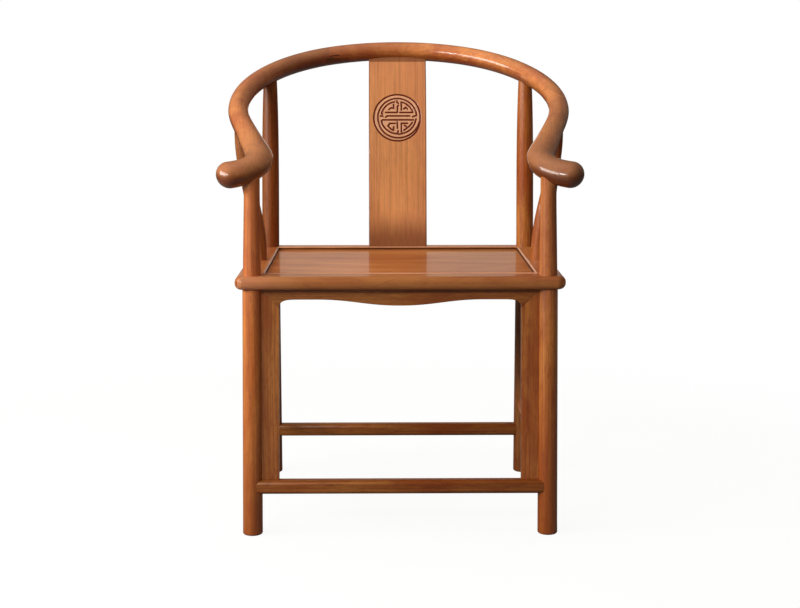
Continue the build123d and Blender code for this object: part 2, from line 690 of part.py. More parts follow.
def make_batten():
    half_length = SEAT_DEPTH / 2 - FRAME_WIDTH
    left, right = (BATTEN_SPACING - BATTEN_WIDTH) / 2, (BATTEN_SPACING + BATTEN_WIDTH) / 2
    body = block((left, -half_length, FRAME_UNDERSIDE), (right, half_length, PANEL_UNDERSIDE))
    return body + batten_dovetail() + batten_tenons()


def make_seat_panel():
    half_width = SEAT_WIDTH / 2 - FRAME_WIDTH
    half_depth = SEAT_DEPTH / 2 - FRAME_WIDTH
    tongue = PANEL_TONGUE - PANEL_SHRINKAGE_GAP
    panel = block(
        (-half_width - tongue, -half_depth - tongue, TONGUE_UNDERSIDE),
        (half_width + tongue, half_depth + tongue, TONGUE_TOP),
    )
    panel += block(
        (-half_width + JOINT_GAP, -half_depth + JOINT_GAP, PANEL_UNDERSIDE),
        (half_width - JOINT_GAP, half_depth - JOINT_GAP, PANEL_TOP),
    )
    return panel - pair_across(batten_dovetail(JOINT_GAP / 2))


# ---------------------------------------------------------------- back splat
def splat_curve():
    """The side view of the splat's middle: hollow behind the sitter's waist, then leaning back."""
    foot_lean, waist_lean = radians(SPLAT_FOOT_LEAN), radians(SPLAT_WAIST_LEAN)
    radius = SPLAT_LOWER_HEIGHT / (sin(foot_lean) - sin(waist_lean))
    direction = Vector(sin(foot_lean), cos(foot_lean))
    foot = Vector(SPLAT_FOOT_Y, SEAT_HEIGHT)
    stub = Line(foot - 2 * SPLAT_TONGUE_DEPTH * direction, foot)
    turn = SPLAT_FOOT_LEAN - SPLAT_WAIST_LEAN
    lower = JernArc(start=foot, tangent=direction, radius=radius, arc_size=turn)
    upper = TangentArc(lower @ 1, (CREST_Y, CREST_Z), tangent=lower % 1)
    return Plane.YZ * Curve([stub, lower, upper])


def splat_board(width, thickness, forward=0.0):
    """A bent board along the splat's curve; forward moves it towards the sitter."""
    path = Wire(splat_curve().edges())
    start = Plane(origin=path @ 0, x_dir=(1, 0, 0), z_dir=path % 0)
    return sweep(start * Pos(0, forward) * Rectangle(width, thickness), path=path)


def splat_tongue(gap=0.0, end_gap=0.0):
    """The thin core of the splat, which enters the crest rail and the rear seat rail."""
    width = SPLAT_WIDTH - 2 * SPLAT_TONGUE_SHOULDER + 2 * gap
    core = splat_board(width, SPLAT_TONGUE_THICKNESS + 2 * gap)
    deep = SPLAT_TONGUE_DEPTH + end_gap
    return (core & above(SEAT_HEIGHT - deep)) - rail_body(-deep)


def on_splat(height):
    """The plane on the splat's middle at a height over the seat, facing the sitter."""
    path = Wire(splat_curve().edges())
    low, high = 0.0, 1.0
    for _ in shares(SEARCH_STEPS):
        middle = (low + high) / 2
        if (path @ middle).Z < SEAT_HEIGHT + height:
            low = middle
        else:
            high = middle
    up = path % low
    return Plane(origin=path @ low, x_dir=(1, 0, 0), z_dir=Vector(1, 0, 0).cross(up))


def ring_outline(outer_radius, width):
    return Circle(outer_radius) - Circle(outer_radius - width)


def medallion_outline():
    """The carved lines of the round longevity medallion: two rings and a broken fret inside."""
    lines = ring_outline(MEDALLION_RADIUS, MEDALLION_GROOVE)
    lines += ring_outline(MEDALLION_RADIUS - MEDALLION_BAND, MEDALLION_GROOVE)
    gap = Rectangle(2 * MEDALLION_BAND, 3 * FRET_RADIUS) + Rectangle(3 * FRET_RADIUS, FRET_BAR_SPACING)
    lines += ring_outline(FRET_RADIUS, MEDALLION_GROOVE) - gap
    for row in (-1, 0, 1):
        reach = sqrt(FRET_RADIUS**2 - FRET_BAR_SPACING**2) - (MEDALLION_GROOVE if row else FRET_HOOK / 2)
        lines += Pos(0, row * FRET_BAR_SPACING) * Rectangle(2 * reach, MEDALLION_GROOVE)
    for side in (-1, 1):
        stem_height = FRET_RADIUS - 2 * FRET_BAR_SPACING
        stem_middle = FRET_BAR_SPACING + stem_height / 2
        lines += Pos(0, side * stem_middle) * Rectangle(MEDALLION_GROOVE, stem_height)
        for hand in (-1, 1):
            hook = Rectangle(FRET_HOOK, MEDALLION_GROOVE)
            hook += Pos(-hand * (FRET_HOOK - MEDALLION_GROOVE) / 2, side * FRET_HOOK / 4) * Rectangle(
                MEDALLION_GROOVE, FRET_HOOK / 2
            )
            lines += Pos(hand * FRET_HOOK, side * 2 * FRET_BAR_SPACING) * hook
    return lines


def medallion_cut():
    """The carving, no deeper than a thin layer at the front of the splat."""
    forward = SPLAT_THICKNESS / 2 - (MEDALLION_DEPTH - CARVING_SPARE) / 2
    layer = splat_board(SPLAT_WIDTH, MEDALLION_DEPTH + CARVING_SPARE, -forward)
    face = on_splat(MEDALLION_HEIGHT)
    return extrude(face * medallion_outline(), 2 * SPLAT_THICKNESS, both=True) & layer


def make_back_splat(rail):
    board = splat_board(SPLAT_WIDTH, SPLAT_THICKNESS) & above(SEAT_HEIGHT)
    return (board - rail) + splat_tongue() - medallion_cut()


# ---------------------------------------------------------------- stretchers and aprons
def leg_centre(line, height):
    """The centre of a leg at a height."""
    return line.origin + line.z_dir * (height / line.z_dir.Z)


def run_between(start, end):
    """The upright plane through two points: x along the run, y up."""
    return Plane(origin=start, x_dir=end - start, z_dir=(end - start).cross(Vector(0, 0, 1)))


def bar(start, end, profile):
    """A profile run from one point to another, its x across the run and its y up."""
    plane = Plane(origin=start, x_dir=Vector(0, 0, 1).cross(end - start), z_dir=end - start)
    return extrude(plane * profile, (end - start).length)


def tenon_bar(start, end, middle, gap, end_gap):
    """The core of a stretcher whose two ends are its tenons, between two leg centres."""
    along = (end - start).normalized()
    short = middle - STRETCHER_TENON_LENGTH - end_gap
    profile = Rectangle(STRETCHER_TENON_THICKNESS + 2 * gap, STRETCHER_TENON_HEIGHT + 2 * gap)
    return bar(start + along * short, end - along * short, profile)


def level_ends(line, top):
    """Centres of the two legs of a pair, left and right, at the middle height of a stretcher."""
    right = leg_centre(line, top - STRETCHER_HEIGHT / 2)
    return Vector(-right.X, right.Y, right.Z), right


def front_stretcher_body(growth=0.0):
    start, end = level_ends(FRONT_LEG_LINE, FRONT_STRETCHER_TOP)
    forward = Vector(0, FRONT_STRETCHER_SETBACK + STRETCHER_DEPTH / 2 - FOOT_RADIUS, 0)
    size = (STRETCHER_DEPTH + 2 * growth, STRETCHER_HEIGHT + 2 * growth)
    return bar(start + forward, end + forward, RectangleRounded(*size, STRETCHER_ROUND + growth))


def front_stretcher_tenons(gap=0.0, end_gap=0.0):
    start, end = level_ends(FRONT_LEG_LINE, FRONT_STRETCHER_TOP)
    return tenon_bar(start, end, FOOT_RADIUS, gap, end_gap)


def make_front_stretcher(front_legs, stubs):
    return (front_stretcher_body() - front_legs) + front_stretcher_tenons() - stubs


def rear_stretcher_tenons(gap=0.0, end_gap=0.0):
    start, end = level_ends(REAR_LEG_LINE, REAR_STRETCHER_TOP)
    return tenon_bar(start, end, FOOT_RADIUS, gap, end_gap)


def make_rear_stretcher(rear_legs):
    start, end = level_ends(REAR_LEG_LINE, REAR_STRETCHER_TOP)
    body = bar(start, end, RectangleRounded(STRETCHER_DEPTH, STRETCHER_HEIGHT, STRETCHER_ROUND))
    return (body - rear_legs) + rear_stretcher_tenons()


def side_ends(height):
    return leg_centre(FRONT_LEG_LINE, height), leg_centre(REAR_LEG_LINE, height)


def side_stretcher_tenons(gap=0.0, end_gap=0.0):
    start, end = side_ends(SIDE_STRETCHER_TOP - STRETCHER_HEIGHT / 2)
    return tenon_bar(start, end, FOOT_RADIUS, gap, end_gap)


def make_side_stretcher(legs):
    start, end = side_ends(SIDE_STRETCHER_TOP - STRETCHER_HEIGHT / 2)
    body = bar(start, end, RectangleRounded(SIDE_STRETCHER_WIDTH, STRETCHER_HEIGHT, STRETCHER_ROUND))
    return (body - legs) + side_stretcher_tenons()


def strip_inner_x(height):
    """Inner edge of an upright strip, which follows the splay of the leg."""
    return front_leg_x(height) - STRIP_WIDTH


APRON_CORNER_Z = FRAME_UNDERSIDE - FRONT_APRON_CORNER_DROP
APRON_CORNER_X = strip_inner_x(APRON_CORNER_Z)


def strip_plate(thickness):
    """An upright strip as far as the middle of the right leg, mitred at its top."""
    foot = FRONT_STRETCHER_TOP - STRETCHER_ROUND
    outline = Polygon(
        (strip_inner_x(foot), foot),
        (front_leg_x(foot), foot),
        (front_leg_x(FRAME_UNDERSIDE), FRAME_UNDERSIDE),
        (APRON_CORNER_X + FRONT_APRON_CORNER_DROP, FRAME_UNDERSIDE),
        (APRON_CORNER_X, APRON_CORNER_Z),
        align=None,
    )
    return Pos(0, FRONT_LEG_Y, 0) * extrude(Plane.XZ * outline, thickness / 2, both=True)


def strip_tongue(gap=0.0, end_gap=0.0):
    """The thin edge of the right strip, which stands in a groove of the leg."""
    thin = strip_plate(STRIP_TONGUE_THICKNESS + 2 * gap)
    inside_leg = thin & front_leg_cone(SCRIBE_GAP + JOINT_GAP)
    inside_leg -= front_leg_cone(-STRIP_TONGUE_DEPTH - end_gap)
    return inside_leg & above(FRONT_STRETCHER_TOP)


def strip_stub(gap=0.0, end_gap=0.0):
    """Stub tenon under the right strip, in the top of the foot stretcher."""
    middle = strip_inner_x(FRONT_STRETCHER_TOP) + (STRIP_WIDTH - FOOT_RADIUS) / 2
    return Pos(middle, FRONT_LEG_Y, FRONT_STRETCHER_TOP) * Box(
        STRIP_STUB_WIDTH + 2 * gap, STRIP_TONGUE_THICKNESS + 2 * gap, 2 * (STRIP_STUB + end_gap)
    )


def make_front_apron_strip(front_leg):
    body = strip_plate(APRON_THICKNESS) - front_leg - front_stretcher_body(SCRIBE_GAP)
    return body + strip_tongue() + strip_stub()


def apron_edge():
    """Right half of the apron's lower edge: a swelling, a rise and a rounded corner."""
    crest = FRAME_UNDERSIDE - FRONT_APRON_CREST
    middle = FRAME_UNDERSIDE - FRONT_APRON_MIDDLE
    start, end = FRONT_APRON_CREST_START, FRONT_APRON_CREST_END
    pull = start * SWELL_PULL
    swell = Bezier((0, middle), (pull, middle), (start - pull, crest), (start, crest))
    level = Line((start, crest), (end, crest))
    round_x = mix(end, APRON_CORNER_X, CORNER_PULL)
    corner_top, corner_foot = (APRON_CORNER_X, crest), (APRON_CORNER_X, APRON_CORNER_Z)
    corner = Bezier((end, crest), (round_x, crest), corner_top, corner_foot)
    return [swell, level, corner]


def apron_tongue(start, end, gap=0.0, end_gap=0.0):
    """Tongue along the top of an apron, in a groove under the frame, stopped before the legs."""
    stop = 2 * FOOT_RADIUS - gap
    along = (end - start).normalized() * stop
    height = 2 * (APRON_TONGUE_DEPTH + end_gap)
    return bar(start + along, end - along, Rectangle(APRON_TONGUE_THICKNESS + 2 * gap, height))


def under_frame(line):
    return leg_centre(line, FRAME_UNDERSIDE)


def front_apron_tongue(gap=0.0, end_gap=0.0):
    right = under_frame(FRONT_LEG_LINE)
    return apron_tongue(Vector(-right.X, right.Y, right.Z), right, gap, end_gap)


def make_front_apron(front_legs):
    edge = apron_edge()
    top_x = APRON_CORNER_X + FRONT_APRON_CORNER_DROP
    outline = edge + [
        Line((APRON_CORNER_X, APRON_CORNER_Z), (top_x, FRAME_UNDERSIDE)),
        Line((top_x, FRAME_UNDERSIDE), (0, FRAME_UNDERSIDE)),
        Line((0, FRAME_UNDERSIDE), (0, FRAME_UNDERSIDE - FRONT_APRON_MIDDLE)),
    ]
    half = extrude(Plane.XZ * make_face(outline), APRON_THICKNESS / 2, both=True)
    board = Pos(0, FRONT_LEG_Y, 0) * (half + to_left(half))
    return (board - front_legs) + front_apron_tongue()


def plain_apron_outline(length, drop=0.0):
    """A straight apron seen from its face, with small spandrels against the legs."""
    depth, end_depth = -PLAIN_APRON_DEPTH, -PLAIN_APRON_DEPTH - PLAIN_APRON_END_DROP
    inner = FOOT_RADIUS + PLAIN_APRON_END_LENGTH
    half = length / 2
    edge = [
        Line((0, 0), (0, depth)),
        Line((0, depth), (half - inner - PLAIN_APRON_END_DROP, depth)),
        Bezier(
            (half - inner - PLAIN_APRON_END_DROP, depth),
            (half - inner, depth),
            (half - inner, end_depth),
            (half - inner + PLAIN_APRON_END_DROP, end_depth),
        ),
        Line((half - inner + PLAIN_APRON_END_DROP, end_depth), (half, end_depth)),
        Line((half, end_depth), (half, 0)),
        Line((half, 0), (0, 0)),
    ]
    face = make_face(edge)
    return Pos(half, 0) * (face + mirror(face, about=Plane.YZ))


def plain_apron_plate(start, end, thickness):
    """A plain apron between two leg centres, before its ends are cut to the legs."""
    outline = plain_apron_outline((end - start).length)
    return extrude(run_between(start, end) * outline, thickness / 2, both=True)


def plain_apron(start, end, legs, leg_cores):
    """A plain apron whose thin ends stand in grooves of the legs, with a tongue along its top."""
    body = plain_apron_plate(start, end, APRON_THICKNESS) - legs
    thin = plain_apron_plate(start, end, STRIP_TONGUE_THICKNESS) - leg_cores
    return body + thin + apron_tongue(start, end)


def plain_apron_groove(start, end, leg_cores):
    """What a plain apron needs cut from the legs."""
    thickness = STRIP_TONGUE_THICKNESS + 2 * JOINT_GAP
    plate = plain_apron_plate(start, end, thickness)
    plate += Pos(0, 0, -JOINT_GAP) * plate
    return plate - leg_cores


# ---------------------------------------------------------------- the whole chair
def build_chair():
    """Every piece by name, in its place over the middle of the seat."""
    front_leg, rear_leg = front_leg_cone(SCRIBE_GAP), rear_leg_cone(SCRIBE_GAP)
    tongue_end = -STRIP_TONGUE_DEPTH
    groove_end = -STRIP_TONGUE_DEPTH - MORTISE_END_GAP
    front_core, rear_core = front_leg_cone(tongue_end), rear_leg_cone(tongue_end)
    front_deep, rear_deep = front_leg_cone(groove_end), rear_leg_cone(groove_end)
    rail = rail_body(SCRIBE_GAP)

    side_top = side_ends(FRAME_UNDERSIDE)
    rear_right = under_frame(REAR_LEG_LINE)
    rear_top = (Vector(-rear_right.X, rear_right.Y, rear_right.Z), rear_right)

    side_groove = plain_apron_groove(*side_top, [front_deep, rear_deep])
    rear_groove = plain_apron_groove(*rear_top, pair_across(rear_deep))
    mortise = (JOINT_GAP, MORTISE_END_GAP)
    side_mortise = side_stretcher_tenons(*mortise)
    stub_mortises = pair_across(strip_stub(*mortise))
    front_leg_cuts = [strip_tongue(*mortise), side_groove]
    front_leg_mortises = [front_stretcher_tenons(*mortise), side_mortise]
    rear_leg_mortises = [rear_stretcher_tenons(*mortise), side_mortise]

    post_foot, post_head = side_post_tenons(*mortise)
    frame_cuts = pair_across(front_leg_hole()) + pair_across(rear_leg_hole())
    frame_cuts += pair_across(batten_tenons(*mortise)) + pair_across(post_foot)
    frame_cuts += pair_across(apron_tongue(*side_top, *mortise))
    frame_cuts += [front_apron_tongue(*mortise), apron_tongue(*rear_top, *mortise)]
    frame_cuts += [splat_tongue(*mortise)]
    ring = frame_ring()

    right = {
        "crest_shoulder": make_crest_shoulder() - rear_post_tenon(*mortise),
        "arm": make_arm() - front_post_tenon(*mortise) - post_head,
        "front_leg": make_front_leg(rail, front_leg_cuts, front_leg_mortises),
        "rear_leg": make_rear_leg(rail, [side_groove, rear_groove], rear_leg_mortises),
        "side_post": make_side_post(rail),
        "seat_rail": make_seat_rail_right(ring, frame_cuts),
        "seat_batten": make_batten(),
        "front_apron_strip": make_front_apron_strip(front_leg),
        "side_apron": plain_apron(*side_top, [front_leg, rear_leg], [front_core, rear_core]),
        "side_stretcher": make_side_stretcher([front_leg, rear_leg]),
    }
    chair = {
        "crest_centre": make_crest_centre() - splat_tongue(*mortise),
        "scarf_pegs": make_scarf_pegs(),
        "back_splat": make_back_splat(rail),
        "seat_rail_front": make_seat_rail_front(ring, frame_cuts),
        "seat_rail_rear": make_seat_rail_rear(ring, frame_cuts),
        "seat_panel": make_seat_panel(),
        "front_apron": make_front_apron(pair_across(front_leg)),
        "rear_apron": plain_apron(*rear_top, pair_across(rear_leg), pair_across(rear_core)),
        "front_stretcher": make_front_stretcher(pair_across(front_leg), stub_mortises),
        "rear_stretcher": make_rear_stretcher(pair_across(rear_leg)),
    }
    for name, piece in right.items():
        chair[f"{name}_right"] = piece
        chair[f"{name}_left"] = to_left(piece)
    return chair


def solids_of(piece):
    """The separate solids of a piece or of a group of pieces."""
    if isinstance(piece, list):
        return [solid for item in piece for solid in item.solids()]
    return list(piece.solids())


def write_parts():
    """Moves the chair so that its box is centred over the origin and writes one file per piece."""
    chair = {name: Compound(solids_of(piece)) for name, piece in build_chair().items()}
    box = Compound(list(chair.values())).bounding_box()
    to_origin = Pos(0, -(box.min.Y + box.max.Y) / 2, 0)
    os.makedirs("parts", exist_ok=True)
    for name, piece in chair.items():
        placed = to_origin * piece
        solids = placed.solids()
        export_step(solids[0] if len(solids) == 1 else placed, f"parts/{name}.step")
        print(f"{name}: {len(solids)} solid(s), {placed.volume / 1000:.1f} cm3")


write_parts()
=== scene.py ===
# %% [markdown]
# # A horseshoe back armchair in lacquered hardwood
# The chair's solid pieces are already made, in real size, and stand in metres with the floor at
# zero height and the sitter looking along -Y. This script doesn't move them. It gives them wood,
# carving, light and a camera, one small step at a time.

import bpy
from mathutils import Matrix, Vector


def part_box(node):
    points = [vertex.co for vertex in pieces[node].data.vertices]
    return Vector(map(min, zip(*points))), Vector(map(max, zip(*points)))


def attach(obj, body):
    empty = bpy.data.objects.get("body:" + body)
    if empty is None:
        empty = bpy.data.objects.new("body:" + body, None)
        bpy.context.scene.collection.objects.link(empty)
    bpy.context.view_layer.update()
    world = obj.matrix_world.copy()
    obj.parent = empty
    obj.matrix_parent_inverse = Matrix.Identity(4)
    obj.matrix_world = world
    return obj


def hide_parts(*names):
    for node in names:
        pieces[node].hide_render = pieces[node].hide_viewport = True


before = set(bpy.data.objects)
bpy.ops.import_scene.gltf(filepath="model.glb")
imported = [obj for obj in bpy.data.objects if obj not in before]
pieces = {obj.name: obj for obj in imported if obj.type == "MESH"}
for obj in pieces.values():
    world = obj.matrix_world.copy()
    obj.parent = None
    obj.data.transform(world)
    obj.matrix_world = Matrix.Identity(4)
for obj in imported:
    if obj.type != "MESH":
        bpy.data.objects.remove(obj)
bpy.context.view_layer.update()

# %% [markdown]
# ## The camera
# The chair is seen from the front, a little above the height of its arms, with a long lens that
# keeps the legs nearly parallel. A lens is given as a focal length on a sensor 36 mm wide, so a
# longer focal length means a narrower view. The camera is tilted down and turned very slightly.

# %% Place the camera
import bpy
from math import cos, pi, radians, sin

CAMERA_PLACE = (-0.0306, -2.8716, 0.8347)
CAMERA_TILT, CAMERA_TURN = radians(80.89), radians(-0.66)
FOCAL_LENGTH = 67.93

camera = bpy.data.objects.new("camera", bpy.data.cameras.new("camera"))
bpy.context.scene.collection.objects.link(camera)
bpy.context.scene.camera = camera
camera.data.lens = FOCAL_LENGTH
camera.location = CAMERA_PLACE
camera.rotation_euler = (CAMERA_TILT, 0.0, CAMERA_TURN)
bpy.context.scene.view_settings.view_transform = "Standard"
print("camera at", CAMERA_PLACE, "with a lens of", FOCAL_LENGTH, "mm")

# %% [markdown]
# ## A short way to write a finish
# A finish is layers: bare wood, its streaks and pores, and the lacquer on top. Blender makes each
# of them from nodes, which could be placed by hand in its editor, but that soon becomes a web that
# nobody can read. So here one output of a node is wrapped in a small class, and arithmetic on it,
# such as 1 - mask, adds the nodes that do the same sum. A Math node works on one number and would
# turn a colour grey, so a sum with a colour or a place in it goes through Vector Math.

# %% One output of a node
class Strand:
    """One output of a shader node. Arithmetic on it adds the nodes that work it out."""

    def __init__(self, finish, socket):
        self.finish, self.socket = finish, socket

    def __add__(self, other):
        return self.finish.reckon("ADD", self, other)

    def __radd__(self, other):
        return self.finish.reckon("ADD", other, self)

    def __sub__(self, other):
        return self.finish.reckon("SUBTRACT", self, other)

    def __rsub__(self, other):
        return self.finish.reckon("SUBTRACT", other, self)

    def __mul__(self, other):
        return self.finish.reckon("MULTIPLY", self, other)

    def __rmul__(self, other):
        return self.finish.reckon("MULTIPLY", other, self)

    def __pow__(self, other):
        return self.finish.reckon("POWER", self, other)

    def __rpow__(self, other):
        return self.finish.reckon("POWER", other, self)

    def parts(self):
        """The three numbers of a place, each as a strand of its own."""
        split = self.finish.node("SeparateXYZ", None, {0: self}).socket.node
        return [Strand(self.finish, socket) for socket in split.outputs]

    def along(self, way):
        """How far a place lies along a way."""
        settings = {"operation": "DOT_PRODUCT"}
        return self.finish.node("VectorMath", settings, {0: self, 1: tuple(way)}, out="Value")


print("signs that a strand understands: + - * **")

# %% A finish made of nodes
class Finish:
    """A material, or the world, that is built from nodes."""

    def __init__(self, block):
        self.block = block
        block.use_nodes = True
        self.tree = block.node_tree
        self.tree.nodes.clear()

    def node(self, kind, settings=None, sockets=None, out=0):
        """Adds a node: its settings first, then the values or links of its sockets."""
        made = self.tree.nodes.new("ShaderNode" + kind)
        for name, value in (settings or {}).items():
            setattr(made, name, value)
        for name, value in (sockets or {}).items():
            if isinstance(value, Strand):
                self.tree.links.new(value.socket, made.inputs[name])
            else:
                made.inputs[name].default_value = value
        return Strand(self, made.outputs[out]) if made.outputs else made

    def reckon(self, operation, *values):
        """Works on numbers with Math, and on colours and places with Vector Math."""
        wide = any(isinstance(v, Strand) and v.socket.type in {"VECTOR", "RGBA"} for v in values)
        if wide:
            values = [v if isinstance(v, Strand) or hasattr(v, "__len__") else (v, v, v)
                      for v in values]
        kind = "VectorMath" if wide else "Math"
        return self.node(kind, {"operation": operation}, dict(enumerate(values)))

    def blend(self, share, first, last):
        """Mixes two colours."""
        settings = {"data_type": "RGBA"}
        return self.node("Mix", settings, {0: share, 6: first, 7: last}, out=2)

    def layered(self, wood, *layers):
        """Lays colours over wood, each given as a mask, the share of it to use, and a colour."""
        for mask, share, colour in layers:
            wood = self.blend(mask * share, wood, colour)
        return wood

    def step(self, value, low, high):
        """0 below low, 1 above high, and a smooth rise between."""
        settings = {"interpolation_type": "SMOOTHSTEP"}
        return self.node("MapRange", settings, {0: value, 1: low, 2: high})

    def noise(self, place, scale, detail, roughness, distortion=0.0):
        """Soft lumps, about as many in a metre as the scale says."""
        sockets = {"Vector": place, "Scale": scale, "Detail": detail, "Roughness": roughness}
        return self.node("TexNoise", None, {**sockets, "Distortion": distortion})


print("helpers of a finish:", [name for name in vars(Finish) if not name.startswith("_")])

# %% Colours as they look on a screen
def paint(red, green, blue):
    """A colour picked on a screen, in 0 to 255, as the light values a shader wants."""
    screen = [v / 255 for v in (red, green, blue)]
    return (*[v / 12.92 if v <= 0.04045 else ((v + 0.055) / 1.055) ** 2.4 for v in screen], 1.0)


print("half grey on a screen is", round(paint(128, 128, 128)[0], 3), "of the light of white")

# %% [markdown]
# ## The air of the studio
# A lacquered chair shows its surroundings in its gloss, so the room matters as much as the lamps.
# White walls could be built round it, but they would light it from all sides. Here the world does
# their work. It is white where the camera looks at it, and a plain soft grey where it only lights
# the wood. In the gloss it is grey too, and palest straight behind the chair, where a studio hangs
# its paper backdrop: that is the sheen on the seat.

# %% White air
WHITE, WARM = (1.0, 1.0, 1.0, 1.0), (1.0, 0.90, 0.78, 1.0)
AIR_LIGHT = 0.13
AIR_IN_GLOSS, BACKDROP_IN_GLOSS = 0.08, 0.9
BACKDROP_EDGE = (0.965, 0.988)  # the cosine of the angle from its middle

world = bpy.data.worlds.new("studio")
bpy.context.scene.world = world
air = Finish(world)
seen = air.node("LightPath", out="Is Camera Ray")
mirrored = air.node("LightPath", out="Is Glossy Ray")
backdrop = air.step(air.node("TexCoord", out="Generated").parts()[1], *BACKDROP_EDGE)
in_gloss = AIR_IN_GLOSS + backdrop * (BACKDROP_IN_GLOSS - AIR_IN_GLOSS)
strength = AIR_LIGHT + mirrored * (in_gloss - AIR_LIGHT)
strength = strength + seen * (1.0 - strength)
sky = air.node("Background", None, {"Color": air.blend(seen, WARM, WHITE), "Strength": strength})
air.node("OutputWorld", None, {"Surface": sky})
print("the air lights the wood at", AIR_LIGHT)
print("and shows in its gloss at", AIR_IN_GLOSS, "to", BACKDROP_IN_GLOSS)

# %% [markdown]
# ## The floor
# The floor is a wide sheet of white paper. Plain white paper would throw much light up under the
# seat, and still look grey beside the white air. So it has two sides to it: the wood sees a middle
# grey, and the camera sees a glow as white as the air. Near the feet the glow lets a little of the
# chair's shadow through, so that the chair stands on something.

# %% White floor with a faint shadow
PAPER = paint(128, 127, 125)
GLOW, GLOW_SHARE = 1.5, 0.62
SHADOW_FADES = (0.7, 1.6)  # metres from the middle of the chair

floor_finish = Finish(bpy.data.materials.new("studio_floor"))
paper = floor_finish.node("BsdfDiffuse", None, {"Color": PAPER})
white = floor_finish.node("Emission", None, {"Color": WHITE, "Strength": 1.0})
bright = floor_finish.node("Emission", None, {"Color": WHITE, "Strength": GLOW})
place = floor_finish.node("TexCoord", out="Object")
reach = floor_finish.node("VectorMath", {"operation": "LENGTH"}, {0: place}, out="Value")
near = 1.0 - floor_finish.step(reach, *SHADOW_FADES)
round_the_feet = floor_finish.node("MixShader", None, {0: GLOW_SHARE, 1: paper, 2: bright})
view = floor_finish.node("MixShader", None, {0: near, 1: white, 2: round_the_feet})
seen = floor_finish.node("LightPath", out="Is Camera Ray")
surface = floor_finish.node("MixShader", None, {0: seen, 1: paper, 2: view})
floor_finish.node("OutputMaterial", None, {"Surface": surface})
print("the shadow fades out between", SHADOW_FADES, "m")

# %% Lay the floor
FLOOR_RADIUS, RIM_POINTS = 30.0, 64

angles = [2 * pi * k / RIM_POINTS for k in range(RIM_POINTS)]
rim = [(FLOOR_RADIUS * cos(a), FLOOR_RADIUS * sin(a), 0.0) for a in angles]
floor_mesh = bpy.data.meshes.new("studio_floor")
floor_mesh.from_pydata(rim, [], [list(range(RIM_POINTS))])
floor_mesh.materials.append(floor_finish.block)
floor = bpy.data.objects.new("studio_floor", floor_mesh)
bpy.context.scene.collection.objects.link(floor)
print("floor", FLOOR_RADIUS, "m across its radius")

# %% [markdown]
# ## The lamps
# Round turned wood is read from its light side and its dark side. The key is a wide softbox far
# round on the left. Every leg is bright on its left and falls into brown on its right, and the
# lamp's reflection lies along the rail as one long soft band. A small lamp nearer the front lights
# the flat faces and leaves a crisp glint on each rounded hand. A soft one overhead reaches the seat
# and the tops of the arms, and a weak one behind on the right keeps the far sides from going
# black. These last two are kept out of the gloss, where they would draw a white rim along every
# rail.

# %% Four softboxes
from mathutils import Vector

MIDDLE = Vector((0.0, -0.05, 0.5))


def softbox(name, place, width, height, watts, colour, in_gloss=True):
    """Hangs a flat lamp that faces the middle of the chair."""
    lamp = bpy.data.lights.new(name, "AREA")
    lamp.shape, lamp.size, lamp.size_y = "RECTANGLE", width, height
    lamp.energy, lamp.color = watts, colour
    holder = bpy.data.objects.new(name, lamp)
    bpy.context.scene.collection.objects.link(holder)
    holder.location, holder.visible_glossy = place, in_gloss
    aim = MIDDLE - Vector(place)
    holder.rotation_euler = aim.to_track_quat("-Z", "Y").to_euler()
    print(name, round(aim.length, 2), "m away,", watts, "W")


softbox("key_lamp", (-2.6, -1.2, 1.5), 2.6, 1.0, 80.0, (1.0, 0.97, 0.92))
softbox("front_lamp", (-1.6, -2.65, 1.75), 0.62, 0.26, 28.0, (1.0, 0.98, 0.95))
softbox("top_lamp", (-0.6, 0.1, 3.1), 2.4, 1.8, 32.0, (1.0, 0.98, 0.96), in_gloss=False)
softbox("back_lamp", (2.3, 2.4, 1.7), 2.6, 1.6, 30.0, (1.0, 0.98, 0.97), in_gloss=False)

# %% [markdown]
# ## The pattern in the wood
# Sawn wood is a solid pattern that the surface only cuts through: growth rings round the heart of
# the tree, and fibres along it. A pattern painted on each face would break at every edge, so this
# one is made in space. Each piece says which way its fibres run and where the heart of its log lay.
# The rings are the distance from that heart, shaken a little, and everything else is noise that is
# stretched along the fibres: soft clouds, flames, fine streaks, finer fibres and open pores.

# %% The marks in the wood
# Each is the share that is left of the board's length, then a noise's scale, detail, roughness and
# distortion. A small share draws long thin marks. OPEN_PORE is where that noise becomes a pore.
WANDER = (0.25, 7.0, 3.0, 0.55)
RIPPLE = (0.10, 60.0, 2.0, 0.5)
CLOUDS = (0.22, 13.0, 4.0, 0.62, 0.6)
FLAMES = (0.28, 68.0, 5.0, 0.70, 1.2)
STREAKS = (0.014, 330.0, 3.0, 0.65)
FIBRES = (0.030, 1300.0, 2.0, 0.6)
PORES, OPEN_PORE = (0.045, 1500.0, 1.0, 0.4), (0.64, 0.72)

RING_WIDTH, WANDER_WIDTH, RIPPLE_WIDTH = 0.0055, 0.020, 0.0020
LATE_WOOD = (0.35, 0.95)  # where in its year a ring begins to darken, and where it is darkest
USUAL_FLAME = 0.46
print("a ring every", RING_WIDTH * 1000, "mm, which wanders by", WANDER_WIDTH * 500, "mm")

